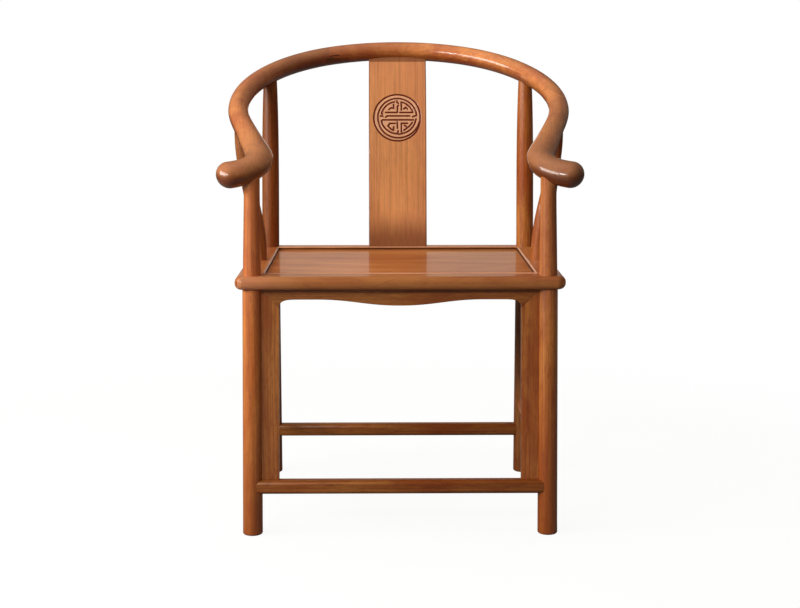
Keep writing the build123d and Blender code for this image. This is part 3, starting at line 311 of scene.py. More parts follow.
# %% The pattern of one board
class Board:
    """The pattern of one board. along is the way of its fibres, heart a point on the log's axis.
    A board that was bent after sawing names the mesh attribute that holds its places when flat."""

    def __init__(self, name, along, heart, ring=RING_WIDTH, contrast=1.0, flamed=USUAL_FLAME,
                 flat=None):
        finish = self.finish = Finish(bpy.data.materials.new(name))
        self.contrast, self.flamed = contrast, flamed
        along = Vector(along).normalized()
        side = along.orthogonal().normalized()
        self.place = sawn = finish.node("TexCoord", out="Object")
        if flat:
            sawn = finish.node("Attribute", {"attribute_name": flat}, out="Vector")
        away = sawn - tuple(heart)
        self.run, self.across, self.height = [
            away.along(way) for way in (along, side, along.cross(side))]

        wander, ripple = self.figure(*WANDER) - 0.5, self.figure(*RIPPLE) - 0.5
        radius = (self.across * self.across + self.height * self.height) ** 0.5
        shaken = radius + wander * WANDER_WIDTH + ripple * RIPPLE_WIDTH
        year = finish.reckon("FRACT", shaken * (1.0 / ring))
        self.rings = finish.step(year, *LATE_WOOD) * (1.0 - finish.step(year, LATE_WOOD[1], 1.0))
        self.clouds, self.flame = self.figure(*CLOUDS), self.figure(*FLAMES)
        self.streaks, self.fibres = self.figure(*STREAKS), self.figure(*FIBRES)
        self.pores = finish.step(self.figure(*PORES), *OPEN_PORE)

    def figure(self, length, *noise):
        """Noise in which the board's length is squeezed, so that its lumps run along the wood."""
        sockets = {0: self.across, 1: self.height, 2: self.run * length}
        return self.finish.noise(self.finish.node("CombineXYZ", None, sockets), *noise)


print("patterns of a board: rings, clouds, flame, streaks, fibres and pores")

# %% [markdown]
# ## The colour of the wood
# This hardwood has faint rings. What shows most is a slow change from honey to amber, with rusty
# flames in it, and fine dark streaks along the fibres. One colour ramp over one noise would give
# stripes that are all alike. So the colours are laid over each other as thin layers, from the
# widest marks to the finest. No two boards have quite the same tone, and within one board the tone
# drifts, so there is a helper for that too. On some pieces the same helper paints light and shade.

# %% Bare wood
HONEY = paint(220, 138, 62)
AMBER = paint(182, 90, 28)
RUST = paint(148, 58, 12)
STREAK = paint(124, 52, 12)
PORE = paint(74, 30, 8)
RING_SHARE, STREAK_SHARE, FIBRE_SHARE, PORE_SHARE = 0.16, 0.46, 0.22, 0.38
# An edge says where in a noise a layer begins to show and where it shows in full.
CLOUD_EDGE, FLAME_EDGE = (0.34, 0.66), (0.46, 0.70)
STREAK_EDGE, FIBRE_EDGE = (0.42, 0.78), (0.40, 0.80)


def bare_wood(cut, tone):
    """The wood under its lacquer. tone makes a darker or a lighter board."""
    finish, contrast = cut.finish, cut.contrast
    wood = finish.layered(
        finish.blend(finish.step(cut.clouds, *CLOUD_EDGE), AMBER, HONEY),
        (finish.step(cut.flame, *FLAME_EDGE), cut.flamed, RUST),
        (cut.rings, RING_SHARE * contrast, STREAK),
        (finish.step(cut.streaks, *STREAK_EDGE), STREAK_SHARE * contrast, STREAK),
        (finish.step(cut.fibres, *FIBRE_EDGE), FIBRE_SHARE * contrast, STREAK),
        (cut.pores, PORE_SHARE * contrast, PORE))
    return wood * (tone, tone, tone)


def drift(cut, wood, way, from_here, to_here, first, last):
    """Lets the tone of the wood drift from first to last between two places along a way."""
    finish = cut.finish
    tone = first + finish.step(cut.place.along(way), from_here, to_here) * (last - first)
    return wood * finish.node("CombineXYZ", None, {0: tone, 1: tone, 2: tone})


for name, colour in (("honey", HONEY), ("amber", AMBER)):
    print(name, tuple(round(v, 3) for v in colour[:3]))

# %% [markdown]
# ## The lacquer
# Lacquer is a thin clear skin over satin wood, with a sharper reflection of its own. Two shaders
# could be mixed for that, but the Principled shader already has a coat. Hands leave it smudged, so
# a noise varies the coat and the wood under it. Two gentle bumps keep the reflections alive: the
# grain that can just be felt through the skin, and the wider waves that a hand plane leaves.

# %% Lacquer over the wood
WOOD_ROUGHNESS, SMUDGED, MATT = 0.34, 0.16, 0.3
LACQUER_IOR = 1.5
SMUDGES, PLANED = (16.0, 4.0, 0.6), (0.45, 24.0, 1.0, 0.5)
RING_RELIEF, FIBRE_RELIEF, PORE_RELIEF = 0.15, 0.35, 0.7
GRAIN_BUMP = {"Strength": 0.06, "Distance": 0.0005}
PLANED_BUMP = {"Strength": 0.05, "Distance": 0.0022}


def lacquered(cut, wood, gloss, coat, shine, dull=0.0):
    """Closes the material. gloss is the roughness of the lacquer and coat the amount of it, shine
    is the reflection of the wood below, and dull is 1 where the lacquer has dried matt."""
    finish = cut.finish
    smudges, planed = finish.noise(cut.place, *SMUDGES), cut.figure(*PLANED)
    relief = cut.rings * RING_RELIEF + cut.fibres * FIBRE_RELIEF - cut.pores * PORE_RELIEF
    grain = finish.node("Bump", None, {**GRAIN_BUMP, "Height": relief})
    shader = finish.node("BsdfPrincipled", None, {
        "Base Color": wood,
        "Roughness": WOOD_ROUGHNESS + smudges * SMUDGED + dull * MATT,
        "Coat Weight": (coat + smudges * SMUDGED) * (1.0 - dull),
        "Coat Roughness": gloss,
        "Coat IOR": LACQUER_IOR,
        "Specular IOR Level": shine,
        "Normal": finish.node("Bump", None, {**PLANED_BUMP, "Height": planed, "Normal": grain}),
    })
    finish.node("OutputMaterial", None, {"Surface": shader})
    return finish.block


print("the wood's roughness is", WOOD_ROUGHNESS, "to", WOOD_ROUGHNESS + SMUDGED)

# %% [markdown]
# ## Which way the fibres run
# A joiner cuts every piece with its fibres along its length, because wood is strong that way and
# splits across it. The legs lean a little, and so do their fibres. Each piece also comes from its
# own log, so each gets its own heart, which lies outside the piece as it does in planks that were
# cut clear of the middle of the tree. The hearts could be drawn at random, but a fixed turn from
# one piece to the next spreads them just as well, and gives the same chair every time.

# %% The way and the tone of each straight piece
UP, ACROSS, BACK = (0, 0, 1), (1, 0, 0), (0, 1, 0)
LENGTHWAYS = {
    "front_leg_left": (0.012, 0, 1), "front_leg_right": (-0.012, 0, 1),
    "rear_leg_left": (0, 0.06, 1), "rear_leg_right": (0, 0.06, 1),
    "side_post_left": (-0.12, 0, 1), "side_post_right": (0.12, 0, 1),
    "front_apron_strip_left": UP, "front_apron_strip_right": UP,
    "front_apron": ACROSS, "rear_apron": ACROSS, "side_apron_left": BACK, "side_apron_right": BACK,
    "front_stretcher": ACROSS, "rear_stretcher": ACROSS,
    "side_stretcher_left": BACK, "side_stretcher_right": BACK,
    "seat_batten_left": BACK, "seat_batten_right": BACK,
}
# Most tones are each piece's own. side_post_left and rear_leg_left are darker as painted shade
# under the left arm.
PIECE_TONES_AND_SHADE = {
    "front_leg_left": 1.16, "rear_leg_left": 0.52, "rear_leg_right": 0.88,
    "side_post_left": 0.62, "side_post_right": 0.86,
    "front_apron": 0.60, "front_apron_strip_left": 0.72, "front_apron_strip_right": 0.82,
    "front_stretcher": 0.56, "rear_stretcher": 0.54,
}
print(len(LENGTHWAYS), "straight pieces, of which", len(PIECE_TONES_AND_SHADE), "have a tone of their own")

# %% [markdown]
# ## How the legs have aged
# Legs wear unevenly. Clothes and hands rub the front ones pale near the seat, and old polish stays
# dark near the floor. The wear could be painted by hand, but it follows the height so closely that
# two soft steps of height are enough. The stretchers and the rear pieces are wiped less often, so
# their lacquer has gone dull.

# %% Wear on the front legs
PALE_WEAR_AND_SHEEN = paint(216, 152, 118)
DARK_HONEY = paint(144, 66, 4)
PALE_ABOVE, PALE_SHARE = (0.34, 0.46), 0.14
DARK_BELOW, DARK_SHARE = (0.04, 0.40), 0.50
LEG_DRIFT_AND_SHADE = {  # the way, from where to where, the first tone and the last
    "front_leg_left": (UP, 0.02, 0.20, 0.84, 1.0),
    "front_leg_right": (UP, 0.02, 0.14, 1.0, 0.94),
    # The rear right leg is darker below the seat: painted shade under the seat.
    "rear_leg_right": (UP, 0.38, 0.50, 0.50, 1.0),
}


def worn_leg(cut, wood):
    """A front leg that is rubbed pale at the seat and dark at the floor."""
    finish, height = cut.finish, cut.place.parts()[2]
    return finish.layered(
        wood,
        (finish.step(height, *PALE_ABOVE), PALE_SHARE, PALE_WEAR_AND_SHEEN),
        (1.0 - finish.step(height, *DARK_BELOW), DARK_SHARE, DARK_HONEY))


print("pale above", PALE_ABOVE[1], "m, darkest at", DARK_BELOW[0], "m")

# %% Wood for the straight pieces
TURN, HEART_AWAY, HEART_UP = 2.4, 0.055, 0.020
FRAME_TONE, FRAME_CONTRAST, LEFT_LEG_FLAME = 1.06, 1.4, 0.18
FRONT_LACQUER, DUSTY_LACQUER = (0.10, 0.70, 0.38), (0.30, 0.25, 0.30)  # gloss, coat, shine


def middle(node):
    """The middle of a piece's box."""
    low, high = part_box(node)
    return (low + high) / 2


def dress(node, finish):
    """Gives a piece its finish, in place of the plain colour that it came with."""
    for slot in pieces[node].material_slots:
        slot.material = finish


for number, (node, along) in enumerate(sorted(LENGTHWAYS.items())):
    turn = TURN * number
    aside = Vector((HEART_AWAY * cos(turn), HEART_AWAY * sin(turn), HEART_UP * sin(3 * turn)))
    flamed = LEFT_LEG_FLAME if node == "front_leg_left" else USUAL_FLAME
    cut = Board(node, along, middle(node) + aside, contrast=FRAME_CONTRAST, flamed=flamed)
    wood = bare_wood(cut, FRAME_TONE * PIECE_TONES_AND_SHADE.get(node, 1.0))
    if node in LEG_DRIFT_AND_SHADE:
        wood = drift(cut, wood, *LEG_DRIFT_AND_SHADE[node])
    if node.startswith("front_leg"):
        wood = worn_leg(cut, wood)
    dusty = node.startswith("rear_") or "stretcher" in node
    dress(node, lacquered(cut, wood, *(DUSTY_LACQUER if dusty else FRONT_LACQUER)))
print(len(LENGTHWAYS), "straight pieces have their wood")

# %% [markdown]
# ## The joint round the seat panel
# The panel floats in a groove, so there is an open line all round it, drawn as a dark line. The
# line is worked out from the opening of the frame: how far a point is from that rectangle,
# whichever side of it the point lies. Both the panel and the frame darken towards it, but only
# below the top of the frame: that is painted shade in the recess where the frame stands above
# the panel.

# %% Dark joint line and painted shade
TONGUE, SEAT_TOP = 0.0062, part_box("seat_rail_rear")[1].z
JOINT_DARK_AND_SHADE, JOINT_SHADE_SHARE = paint(58, 24, 10), 0.80
JOINT_SHADE_EDGE, RECESS_SHADE_HEIGHTS = (0.0006, 0.0024), (SEAT_TOP - 0.0012, SEAT_TOP - 0.0004)

low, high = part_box("seat_panel")
opening_middle = (low + high) / 2
opening_half = (high - low) / 2 - Vector((TONGUE, TONGUE, 0.0))


def dark_joint_and_shade(cut, wood):
    """Darkens the wood of a piece close to the joint between panel and frame: a dark joint line,
    with painted shade in the recess.
    """
    finish, height = cut.finish, cut.place.parts()[2]
    offset = finish.reckon("ABSOLUTE", cut.place - tuple(opening_middle))
    sideways, lengthways, _ = (offset - tuple(opening_half)).parts()
    apart = finish.reckon("ABSOLUTE", finish.reckon("MAXIMUM", sideways, lengthways))
    near = 1.0 - finish.step(apart, *JOINT_SHADE_EDGE)
    # Painted shade: only in the recess below the top of the frame.
    below = 1.0 - finish.step(height, *RECESS_SHADE_HEIGHTS)
    return finish.blend(near * below * JOINT_SHADE_SHARE, wood, JOINT_DARK_AND_SHADE)


print("opening", [round(2 * v, 4) for v in opening_half[:2]], "m")

# %% [markdown]
# ## The seat
# The panel is the widest board of the chair, chosen for its quiet figure, and the frame round it
# is mitred, so the fibres turn the corner with it. A sitter's clothes rub it, and that is blended
# in as a slightly paler wood. The left end of the front rail is made much paler and lighter in
# tone: that is a painted highlight on the corner that faces the key lamp. The seat has been wiped
# so often that little lacquer is left, but it is smooth and mirrors the backdrop as a soft sheen.
# A stronger coat would mirror it as hard white.

# %% Wood for the seat
SEAT_BOARDS = {  # the way of the fibres, the tone, and where the heart lay from the middle
    "seat_panel": (ACROSS, 0.94, (0.0, -0.05, -0.16)),
    "seat_rail_front": (ACROSS, 0.62, (0.0, 0.09, 0.02)),
    "seat_rail_rear": (ACROSS, 0.82, (0.0, 0.07, 0.05)),
    "seat_rail_left": (BACK, 0.86, (0.06, 0.0, 0.04)),
    "seat_rail_right": (BACK, 0.86, (-0.05, 0.0, 0.06)),
}
SEAT_DRIFT_AND_HIGHLIGHT = {
    "seat_panel": (ACROSS, -0.1, 0.15, 1.0, 0.80),
    # The left end of the front rail is lighter in tone: a painted highlight on the corner.
    "seat_rail_front": (ACROSS, -0.28, -0.19, 1.35, 1.0),
}
SEAT_CONTRAST, RAIL_FLAME, PANEL_FLAME = 0.7, 0.30, 0.20
SEAT_WORN, FRONT_WORN, CORNER_HIGHLIGHT, CORNER_EDGE = 0.12, 0.14, 0.46, (-0.29, -0.15)
SEAT_LACQUER = (0.06, 0.16, 0.12)

for node, (along, tone, aside) in SEAT_BOARDS.items():
    flamed = PANEL_FLAME if node == "seat_panel" else RAIL_FLAME
    heart = middle(node) + Vector(aside)
    cut = Board(node, along, heart, contrast=SEAT_CONTRAST, flamed=flamed)
    wood, wear_and_highlight = bare_wood(cut, tone), SEAT_WORN
    if node in SEAT_DRIFT_AND_HIGHLIGHT:
        wood = drift(cut, wood, *SEAT_DRIFT_AND_HIGHLIGHT[node])
    # The left end of the front rail gets a painted highlight: far paler wood towards the corner.
    if node == "seat_rail_front":
        past_the_corner = cut.finish.step(cut.place.parts()[0], *CORNER_EDGE)
        wear_and_highlight = CORNER_HIGHLIGHT - past_the_corner * (CORNER_HIGHLIGHT - FRONT_WORN)
    wood = cut.finish.blend(wear_and_highlight, wood, PALE_WEAR_AND_SHEEN)
    dress(node, lacquered(cut, dark_joint_and_shade(cut, wood), *SEAT_LACQUER))
print(len(SEAT_BOARDS), "boards of the seat have their wood")

# %% [markdown]
# ## The bead round the seat
# A low bead runs round the inner edge of the frame. The joiner leaves it standing when the rest of
# the frame is planed, so that a spilled cup doesn't reach the joint. It catches the light as one
# thin line, and its wood is blended far towards a pale pink, partly wear and partly a painted
# highlight, so that the line shows. One small section is carried round four mitred corners, which
# needs no modifier.

# %% Raise the bead
BEAD_WIDTH, BEAD_HEIGHT, BEAD_GAP = 0.0040, 0.0012, 0.0006
# The section of the bead, across and up, in shares of its width and its height.
SECTION = [(0.0, -0.4), (0.0, 0.1), (0.12, 0.7), (0.5, 1.0), (0.88, 0.7), (1.0, 0.1), (1.0, -0.4)]
CORNERS = [(-1, -1), (1, -1), (1, 1), (-1, 1)]

points, faces = [], []
for right, rear in CORNERS:
    for share, up in SECTION:
        out = BEAD_GAP + share * BEAD_WIDTH
        points.append((opening_middle.x + right * (opening_half.x + out),
                       opening_middle.y + rear * (opening_half.y + out),
                       SEAT_TOP + up * BEAD_HEIGHT))
for side in range(len(CORNERS)):
    here, there = side * len(SECTION), (side + 1) % len(CORNERS) * len(SECTION)
    faces += [(here + k, here + k + 1, there + k + 1, there + k) for k in range(len(SECTION) - 1)]
bead_mesh = bpy.data.meshes.new("seat_bead")
bead_mesh.from_pydata(points, [], faces)
bead = bpy.data.objects.new("seat_bead", bead_mesh)
bpy.context.scene.collection.objects.link(bead)
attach(bead, "root")
print("bead box", [round(v, 4) for v in bead.dimensions])

# %% Wood for the bead
BEAD_HEART, BEAD_TONE, BEAD_WEAR_AND_HIGHLIGHT = (0.0, 0.09, 0.40), 1.2, 0.60
BEAD_LACQUER = (0.10, 0.90, 0.30)

cut = Board("seat_bead", ACROSS, BEAD_HEART)
# The bead's wood is blended far towards a pale pink: partly wear, partly a painted highlight.
wood = cut.finish.blend(BEAD_WEAR_AND_HIGHLIGHT, bare_wood(cut, BEAD_TONE), paint(240, 190, 160))
bead_mesh.materials.append(lacquered(cut, wood, *BEAD_LACQUER))
print("the bead has its wood, rubbed pale by", BEAD_WEAR_AND_HIGHLIGHT)

# %% [markdown]
# ## The curved rail
# No plank bends like this rail, so it is five shorter lengths, each sawn from a straight plank
# along its own chord, and the figure runs out at the side of every curve. It is the piece that
# hands touch most. Light and shade are painted into its colour: a painted sheen on the faces
# that turn up, painted shade on the faces that turn down, and darker cloudy patches in between.
# A picture could be wrapped round it, but would stretch in the curves. So the painted light is
# worked out from the way each face looks, up or down, and a noise frays the border. The tone of
# each length also drifts along it, partly its own and partly painted light and shade. The clouds
# and flames are taken from the place in the chair and not from the plank, so that they run on
# across the joints, as they do where the whole rail was coloured at once.

# %% The chords of the rail
def chord(node, start, end):
    """The way from one end of a bent piece to the other, read from the corners of its box."""
    low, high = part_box(node)
    corners = {"low": low, "high": high}
    ends = [Vector([corners[pick][axis] for axis, pick in enumerate(picks)])
            for picks in (start, end)]
    return ends[1] - ends[0]


RAIL_CHORDS = {
    "crest_centre": Vector(ACROSS),
    "crest_shoulder_right": chord(
        "crest_shoulder_right", ("low", "high", "high"), ("high", "low", "low")),
    "crest_shoulder_left": chord(
        "crest_shoulder_left", ("high", "high", "high"), ("low", "low", "low")),
    "arm_right": Vector((-0.10, -0.92, -0.36)),
    "arm_left": Vector((0.10, -0.92, -0.36)),
}
# Partly each length's own tone, partly painted light and shade: brightest on the right of the
# crest, where the key lamp's band lies, and darker towards the hands.
RAIL_TONE_AND_LIGHT = {  # the way, from where to where, the first tone and the last
    "crest_centre": (ACROSS, -0.12, 0.16, 0.92, 1.56),
    "crest_shoulder_right": (ACROSS, 0.1, 0.3, 1.56, 1.18),
    "crest_shoulder_left": (ACROSS, -0.335, -0.20, 1.32, 0.54),
    "arm_right": (BACK, -0.28, -0.15, 0.46, 0.98),
    "arm_left": (BACK, -0.24, -0.10, 0.74, 1.32),
}
print("chords", {node: tuple(round(v, 2) for v in way) for node, way in RAIL_CHORDS.items()})

# %% Painted sheen on top and painted shade below
DARK_LACQUER_AND_SHADE = paint(84, 27, 5)
TOP_EDGE, TOP_SHEEN_SHARE = (-0.45, 0.75), 0.34
MOTTLE, MOTTLE_EDGE, MOTTLE_SHARE = (0.5, 34.0, 5.0, 0.7, 0.4), (0.44, 0.70), 0.16
SHADE_BELOW_SHARE, FRAYED = 0.72, 0.7
TURNED_RAIL, TURNED_ARM = (-0.80, 0.35), (-0.35, 0.42)


def painted_sheen_and_shade(cut, wood, darkest, palest):
    """Wood of the rail with painted light: a painted sheen on faces that turn up, painted shade on
    faces that turn down, and cloudy dark patches in between. darkest and palest say how far a face
    there turns up, from -1 to 1."""
    finish = cut.finish
    facing = finish.node("NewGeometry", out="Normal").parts()[2]
    mottle = cut.figure(*MOTTLE)
    # Painted shade on the faces that turn down, frayed by the mottle, and a painted sheen on the
    # faces that turn up.
    below = 1.0 - finish.step(facing + (mottle - 0.5) * FRAYED, darkest, palest)
    return finish.layered(
        wood,
        (finish.step(facing, *TOP_EDGE), TOP_SHEEN_SHARE, PALE_WEAR_AND_SHEEN),
        (finish.step(mottle, *MOTTLE_EDGE), MOTTLE_SHARE, DARK_LACQUER_AND_SHADE),
        (below, SHADE_BELOW_SHARE, DARK_LACQUER_AND_SHADE))


print("old lacquer", tuple(round(v, 3) for v in DARK_LACQUER_AND_SHADE[:3]))

# %% [markdown]
# ## The scarf joints
# The lengths of rail meet in scarf joints: both ends are cut to half their thickness over a hand's
# breadth, glued, and locked with a wedge-shaped peg. A good one closes so tightly that no gap is
# left to model. What shows beside the splat are its two glue lines, thin and dark, and a small
# change of tone where one plank ends, so these are drawn in the wood at the place of the joint.

# %% Glue lines beside the splat
SCARF_LEFT, SCARF_RIGHT = -0.1385, -0.1190
SCARF_MIDDLE, SCARF_SLOPE, SCARF_END = 0.8480, 0.11, 0.001
GLUE_LINES, GLUE_EDGE = (-0.0020, -0.0098), (0.0005, 0.0016)
GLUE, GLUE_SHARE = paint(50, 18, 6), 0.92
SCARF_TONE = (ACROSS, SCARF_LEFT - 0.002, SCARF_LEFT + 0.002, 0.58, 1.0)


def glue_lines(cut, wood):
    """Draws the dark glue lines of the scarf joint that shows beside the splat."""
    finish = cut.finish
    x, _, z = cut.place.parts()
    after = finish.step(x, SCARF_LEFT, SCARF_LEFT + SCARF_END)
    within = after * (1.0 - finish.step(x, SCARF_RIGHT, SCARF_RIGHT + SCARF_END))
    above = z - SCARF_MIDDLE - (x - SCARF_LEFT) * SCARF_SLOPE
    for line in GLUE_LINES:
        near = 1.0 - finish.step(finish.reckon("ABSOLUTE", above - line), *GLUE_EDGE)
        wood = finish.blend(near * within * GLUE_SHARE, wood, GLUE)
    return wood


print("glue lines", round((SCARF_RIGHT - SCARF_LEFT) * 1000, 1), "mm long")

# %% Wood for the rail
RAIL_RING = 0.006
RAIL_CLOUDS, RAIL_FLAMES = (11.0, 4.0, 0.62, 0.6), (46.0, 5.0, 0.70, 1.2)
HEART_STEP, HEART_BEHIND, HEART_ABOVE = 0.03, 0.05, 0.07
RAIL_LACQUER = (0.13, 0.90, 0.30)

for number, (node, along) in enumerate(RAIL_CHORDS.items()):
    aside = Vector((HEART_STEP * (number - 2), HEART_BEHIND, HEART_ABOVE))
    cut = Board(node, along, middle(node) + aside, ring=RAIL_RING)
    cut.clouds = cut.finish.noise(cut.place, *RAIL_CLOUDS)
    cut.flame = cut.finish.noise(cut.place, *RAIL_FLAMES)
    wood = drift(cut, bare_wood(cut, 1.0), *RAIL_TONE_AND_LIGHT[node])
    if node == "crest_centre":
        wood = drift(cut, wood, *SCARF_TONE)
    wood = painted_sheen_and_shade(cut, wood, *(TURNED_ARM if node.startswith("arm") else TURNED_RAIL))
    if node in ("crest_centre", "crest_shoulder_left"):
        wood = glue_lines(cut, wood)
    dress(node, lacquered(cut, wood, *RAIL_LACQUER))
print(len(RAIL_CHORDS), "lengths of rail have their wood")

# %% Wood for the pegs
PEG_WAY, PEG_HEART = (0, 0.36, 0.93), (0.0, 0.0, 0.9)
PEG_TONE, PEG_LACQUER = 0.95, (0.10, 0.70, 0.30)
DARK_PEG = (ACROSS, -0.26, -0.20, 1.0, 0.15)
PALE_AGAIN = (ACROSS, -0.05, 0.05, 1.0, 6.4)

cut = Board("scarf_pegs", PEG_WAY, PEG_HEART)
wood = drift(cut, bare_wood(cut, PEG_TONE), *DARK_PEG)
wood = drift(cut, wood, *PALE_AGAIN)
dress("scarf_pegs", lacquered(cut, wood, *PEG_LACQUER))
print("the pegs have their wood")

# %% [markdown]
# ## Softened edges
# No edge on a chair is left sharp: it would bruise, chip and show through the lacquer. A plane or
# sandpaper takes about half a millimetre off, and the narrow flat it leaves catches the light and
# draws each joint as a fine line. A Bevel modifier does the same. The pieces come with their faces
# split at sharp edges, so a Weld modifier first sews them back together.

# %% Round every sharp edge a little
SEWN, SHARP = 1e-5, radians(32)
EDGES = {
    0.0010: ["front_apron", "rear_apron", "side_apron_left", "side_apron_right"],
    0.0008: ["front_apron_strip_left", "front_apron_strip_right"],
    0.0006: ["seat_panel"],
    0.0005: ["front_stretcher", "rear_stretcher", "side_stretcher_left", "side_stretcher_right"],
    0.0004: ["seat_rail_front", "seat_rail_rear", "seat_rail_left", "seat_rail_right"],
}


def soften(node, width):
    """Sews a piece together and takes a little off its sharp edges."""
    piece = pieces[node]
    weld = piece.modifiers.new("weld", "WELD")
    weld.merge_threshold = SEWN
    bevel = piece.modifiers.new("softened_edge", "BEVEL")
    bevel.width, bevel.segments = width, 2
    bevel.limit_method, bevel.angle_limit = "ANGLE", SHARP
    bevel.miter_outer = "MITER_ARC"


for width, nodes in EDGES.items():
    for node in nodes:
        soften(node, width)
print(sum(len(nodes) for nodes in EDGES.values()), "pieces have softened edges")

# %% [markdown]
# ## The curve of the splat
# The splat is one thin board, bent in an S to the sitter's back: hollow at the waist, then leaning
# back to the rail. A flat board could be bent with a modifier, but then its length and thickness
# would change with the bend. Here its side view is two arcs that touch at the waist, and each row
# of points is set square to them at its own length up the board.

# %% Two arcs, seen from the side
from math import atan2, sqrt

FOOT_INSET = 0.0257
FOOT_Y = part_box("seat_rail_rear")[1].y - FOOT_INSET
LOWER_HEIGHT, FOOT_LEAN, WAIST_LEAN = 0.1485, radians(20.0), radians(8.0)
CREST_RADIUS = 0.0183
CREST_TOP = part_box("crest_centre")[1].z
CREST_MIDDLE = (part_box("crest_centre")[1].y - CREST_RADIUS, CREST_TOP - CREST_RADIUS)

lower_radius = LOWER_HEIGHT / (sin(FOOT_LEAN) - sin(WAIST_LEAN))
lower_length = lower_radius * (FOOT_LEAN - WAIST_LEAN)
waist = (FOOT_Y + lower_radius * (cos(WAIST_LEAN) - cos(FOOT_LEAN)), SEAT_TOP + LOWER_HEIGHT)
rise = (CREST_MIDDLE[0] - waist[0], CREST_MIDDLE[1] - waist[1])
bend = atan2(rise[0], rise[1]) - WAIST_LEAN
upper_radius = sqrt(rise[0] ** 2 + rise[1] ** 2) / (2 * sin(bend))
upper_length = 2 * bend * upper_radius
board_length = lower_length + upper_length
print("board", round(board_length, 3), "m, radii", round(lower_radius, 3), round(upper_radius, 3))

# %% A place on the board
def splat_place(s):
    """Where the middle of the board is at a length s above the seat, and how far it leans."""
    if s <= lower_length:
        lean = FOOT_LEAN - s / lower_radius
        y = FOOT_Y + lower_radius * (cos(lean) - cos(FOOT_LEAN))
        return y, SEAT_TOP + lower_radius * (sin(FOOT_LEAN) - sin(lean)), lean
    lean = WAIST_LEAN + (s - lower_length) / upper_radius
    y = waist[0] + upper_radius * (cos(WAIST_LEAN) - cos(lean))
    return y, waist[1] + upper_radius * (sin(lean) - sin(WAIST_LEAN)), lean


print("top of the board", [round(v, 3) for v in splat_place(board_length)[:2]], "m")

# %% [markdown]
# ## The lines of the medallion
# A round medallion is cut into the board's face: two rings with a plain fret between them, an old
# sign for long life. The carver draws it on paper first, and so does this cell. Every line is a row
# of points in millimetres from the middle. A ring is a closed row, and an arc is a row along a
# circle.

# %% Arcs and spirals
import numpy as np

ARC_STEP = 4.0  # degrees


def arc(radius, start, end):
    """Points along a circle, from one angle to another, in degrees anticlockwise from the right."""
    count = max(int(abs(end - start) / ARC_STEP), 2)
    angles = [radians(start + (end - start) * k / count) for k in range(count + 1)]
    return [(radius * cos(a), radius * sin(a)) for a in angles]


def spiral(*marks):
    """Points round the middle through the given pairs of angle and radius."""
    angles = np.arange(marks[0][0], marks[-1][0] + 1, ARC_STEP)
    radii = np.interp(angles, *zip(*marks))
    return [(float(r * cos(radians(a))), float(r * sin(radians(a)))) for a, r in zip(angles, radii)]


print("a whole ring has", len(arc(1.0, 0, 360)), "points")

# %% Rings and fret
RINGS = [
    spiral((0, 46.0), (20, 46.8), (45, 47.8), (180, 48.0), (320, 48.0), (340, 46.8), (360, 46.0)),
    [(31.0, 1.6), (36.0, 3.4)] + spiral(
        (6, 39.2), (90, 39.8), (200, 39.6), (225, 41.0),
        (270, 41.8), (313, 43.6), (336, 44.8), (352, 45.6)),
]
FRET = [
    arc(33.2, 100, 166) + [(-30.2, 6.8)],
    [(-34.6, 2.8), (-29.4, 2.6)],
    [(-1.0, 35.2), (-0.8, 31.0), (2.2, 29.8)],
    [(-24.2, 10.4), (0.0, 10.4), (0.0, 23.0), (2.0, 25.4)],
    [(-7.8, 27.2), (-7.8, 18.8), (-12.6, 20.6), (-17.4, 16.6)],
    [(8.0, 15.6), (8.0, 32.2)] + arc(33.2, 74, 19) + [(29.4, 10.4), (4.9, 10.4)],
    [(13.0, 17.8), (16.6, 21.2), (20.0, 17.8)],
    [(-24.0, 0.6), (-20.4, 3.2), (25.2, 3.2)],
    [(32.5, -5.0), (-29.6, -5.0)] + arc(33.4, 192, 266) + [(0.2, -33.4), (1.4, -27.4)],
    [(-17.8, -15.6), (-15.8, -12.4), (-4.7, -12.4)],
    [(-19.4, -17.4), (-14.2, -23.4), (-8.2, -26.6), (-7.6, -19.2)],
    [(-0.4, -9.8), (-0.2, -22.2)],
    [(20.4, -12.2), (8.0, -12.2), (8.0, -29.6)],
    [(14.4, -16.8), (17.8, -18.4)],
    [(30.2, -10.2), (24.6, -18.0), (13.2, -26.2)],
    spiral((275, 34.6), (290, 34.5), (310, 35.8), (330, 36.8), (350, 37.3), (357, 38.4)),
]
print(len(RINGS), "rings and", len(FRET), "lines of fret")

# %% [markdown]
# ## Carving
# A small round gouge leaves grooves with one lit wall and one dark wall. Painted lines or a bump
# map would not catch the light that way near the eye, so here the grooves are real. The front of
# the board is a grid, and each of its points is pressed in by the depth of the nearest cut. The
# grid is fine only where the medallion is, which keeps the mesh small.

# %% How deep a point is cut
GROOVE_HALF_WIDTH, GROOVE_DEPTH = 2.4, 1.8


def distance_to_lines(x, y, lines):
    """Distance in millimetres from each point to the nearest stretch of any line."""
    nearest = np.full(x.shape, np.inf)
    for line in lines:
        for (ax, ay), (bx, by) in zip(line[:-1], line[1:]):
            length = max((bx - ax) ** 2 + (by - ay) ** 2, 1e-9)
            share = np.clip(((x - ax) * (bx - ax) + (y - ay) * (by - ay)) / length, 0.0, 1.0)
            gap = np.hypot(x - ax - share * (bx - ax), y - ay - share * (by - ay))
            nearest = np.minimum(nearest, gap)
    return nearest


def cut_depth(gap):
    """Depth of a cut at a distance from its line: round at the bottom and at the shoulders."""
    across = np.clip(gap / GROOVE_HALF_WIDTH, 0.0, 1.0)
    return GROOVE_DEPTH * (0.5 + 0.5 * np.cos(pi * across))


print("a cut is", 2 * GROOVE_HALF_WIDTH, "mm wide and", GROOVE_DEPTH, "mm deep")

